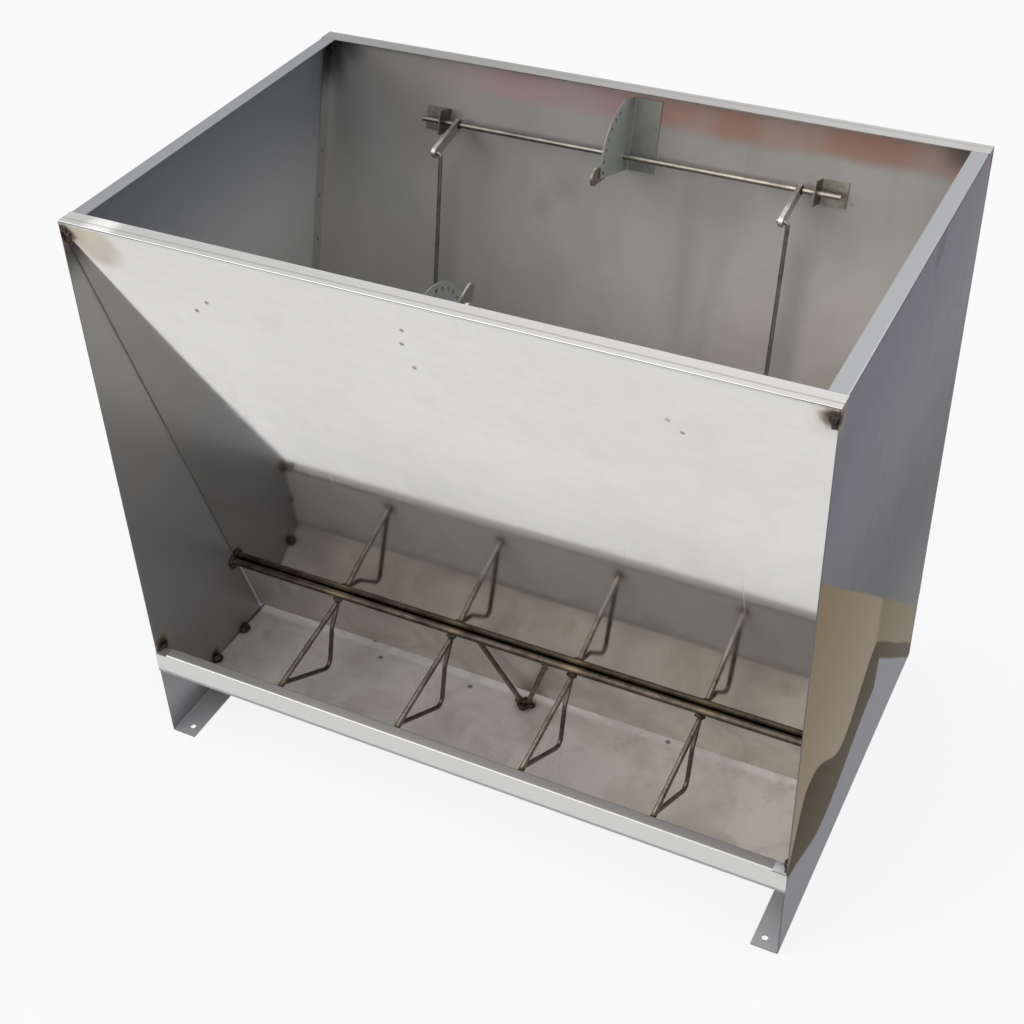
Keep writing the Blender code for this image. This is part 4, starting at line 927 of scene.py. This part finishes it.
def lug_welds(shape, angle, side_name):
    """Joins both lugs to the gate with a bead along each side of their root."""
    inward = turned(INWARD, angle)
    up = turned(UP_SLOPE, angle)
    for index, word in enumerate(("left", "right")):
        lug_low, lug_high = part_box(side_name + "_gate_lug_" + word)
        root = (lug_low + lug_high) / 2.0 - inward * 0.0172
        for side in ENDS:
            start = root + ALONG * (side * 0.0018) - up * 0.0125
            bead(shape, line(start, start + up * 0.025, 12), 0.0011, 91 + index, 0.6, inward)


def make_welds(weld, spot):
    """Makes the weld beads and spot welds of both sides."""
    beads = (divider_top_welds, divider_low_welds, guard_bar_end_welds, brace_foot_weld, brace_top_welds,
             trough_end_welds, rim_corner_welds)
    for side_name, angle in SIDES:
        for fill in beads:
            make_piece(side_name + "_" + fill.__name__, "frame", weld, fill, angle)
        for fill in (panel_spot_welds, flange_spot_welds):
            make_piece(side_name + "_" + fill.__name__, "frame", spot, fill, angle)
        make_piece(side_name + "_crank_welds", side_name + "_shaft_group", weld, crank_welds, angle)
        make_piece(side_name + "_lug_welds", side_name + "_gate_group", weld, lug_welds, angle, side_name)


# Stage, light and camera


def seen_share(tree):
    """Gives 1 for rays from the camera or off a glossy surface, and 0 for the rays that light things."""
    path = tree.nodes.new("ShaderNodeLightPath")
    seen = tree.nodes.new("ShaderNodeMath")
    seen.operation = "MAXIMUM"
    tree.links.new(path.outputs["Is Camera Ray"], seen.inputs[0])
    tree.links.new(path.outputs["Is Glossy Ray"], seen.inputs[1])
    return seen.outputs[0]


def two_looks(tree, output, share, first, second):
    """Mixes two shaders by a share into an output."""
    both = tree.nodes.new("ShaderNodeMixShader")
    tree.links.new(share, both.inputs[0])
    tree.links.new(first.outputs[0], both.inputs[1])
    tree.links.new(second.outputs[0], both.inputs[2])
    tree.links.new(both.outputs[0], output.inputs["Surface"])


def make_stage():
    """Makes a pale floor that keeps the feeder's shadow."""
    shape = bmesh.new()
    bmesh.ops.create_grid(shape, x_segments=1, y_segments=1, size=FLOOR_SIZE)
    mesh = bpy.data.meshes.new("studio_floor")
    shape.to_mesh(mesh)
    shape.free()
    floor = bpy.data.objects.new("studio_floor", mesh)
    floor.location = (0.0, 0.0, -FLOOR_DROP)
    bpy.context.scene.collection.objects.link(floor)

    material = bpy.data.materials.new("studio_floor")
    material.use_nodes = True
    tree = material.node_tree
    tree.nodes.clear()
    output = tree.nodes.new("ShaderNodeOutputMaterial")
    plain = tree.nodes.new("ShaderNodeBsdfDiffuse")
    plain.inputs["Color"].default_value = FLOOR_TONE
    white = tree.nodes.new("ShaderNodeEmission")
    white.inputs["Color"].default_value = WHITE
    share = tree.nodes.new("ShaderNodeMath")
    share.operation = "MULTIPLY"
    share.inputs[1].default_value = FLOOR_WHITENESS
    tree.links.new(seen_share(tree), share.inputs[0])
    two_looks(tree, output, share.outputs[0], plain, white)
    mesh.materials.append(material)


def make_light():
    """Makes the soft studio light: a white room and two large soft lamps."""
    world = bpy.data.worlds.new("studio")
    bpy.context.scene.world = world
    world.use_nodes = True
    tree = world.node_tree
    tree.nodes.clear()
    output = tree.nodes.new("ShaderNodeOutputWorld")
    room = tree.nodes.new("ShaderNodeBackground")
    room.inputs["Color"].default_value = ROOM_TONE
    room.inputs["Strength"].default_value = ROOM_STRENGTH
    white = tree.nodes.new("ShaderNodeBackground")
    white.inputs["Color"].default_value = WHITE
    white.inputs["Strength"].default_value = 1.0
    two_looks(tree, output, seen_share(tree), room, white)

    for name, place, size, power, colour in LAMPS:
        lamp = bpy.data.lights.new(name, "AREA")
        lamp.shape = "DISK"
        lamp.size = size
        lamp.energy = power
        lamp.color = colour
        item = bpy.data.objects.new(name, lamp)
        item.location = place
        aim = LAMP_AIM - Vector(place)
        item.rotation_euler = aim.to_track_quat("-Z", "Y").to_euler()
        bpy.context.scene.collection.objects.link(item)


def make_camera():
    """Makes the camera at the photograph's angle."""
    data = bpy.data.cameras.new("camera")
    data.sensor_width = SENSOR_WIDTH
    data.lens = LENS
    data.clip_start = 0.05
    data.clip_end = 60.0
    camera = bpy.data.objects.new("camera", data)
    right = CAMERA_RIGHT.normalized()
    ahead = CAMERA_AHEAD.normalized()
    up = right.cross(ahead).normalized()
    right = ahead.cross(up)
    turn = Matrix((right, up, -ahead)).transposed().to_4x4()
    camera.matrix_world = Matrix.Translation(CAMERA_PLACE) @ turn
    bpy.context.scene.collection.objects.link(camera)
    bpy.context.scene.camera = camera


dress_nodes(make_finishes())
weld_steel = weld_material()
spot_steel = rod_material("spot_weld", (0.50, 0.49, 0.47), (0.33, 0.32, 0.31), 0.34, 0.3, 90.0)
make_welds(weld_steel, spot_steel)
make_stage()
make_light()
make_camera()
bpy.context.scene.view_settings.view_transform = "Standard"
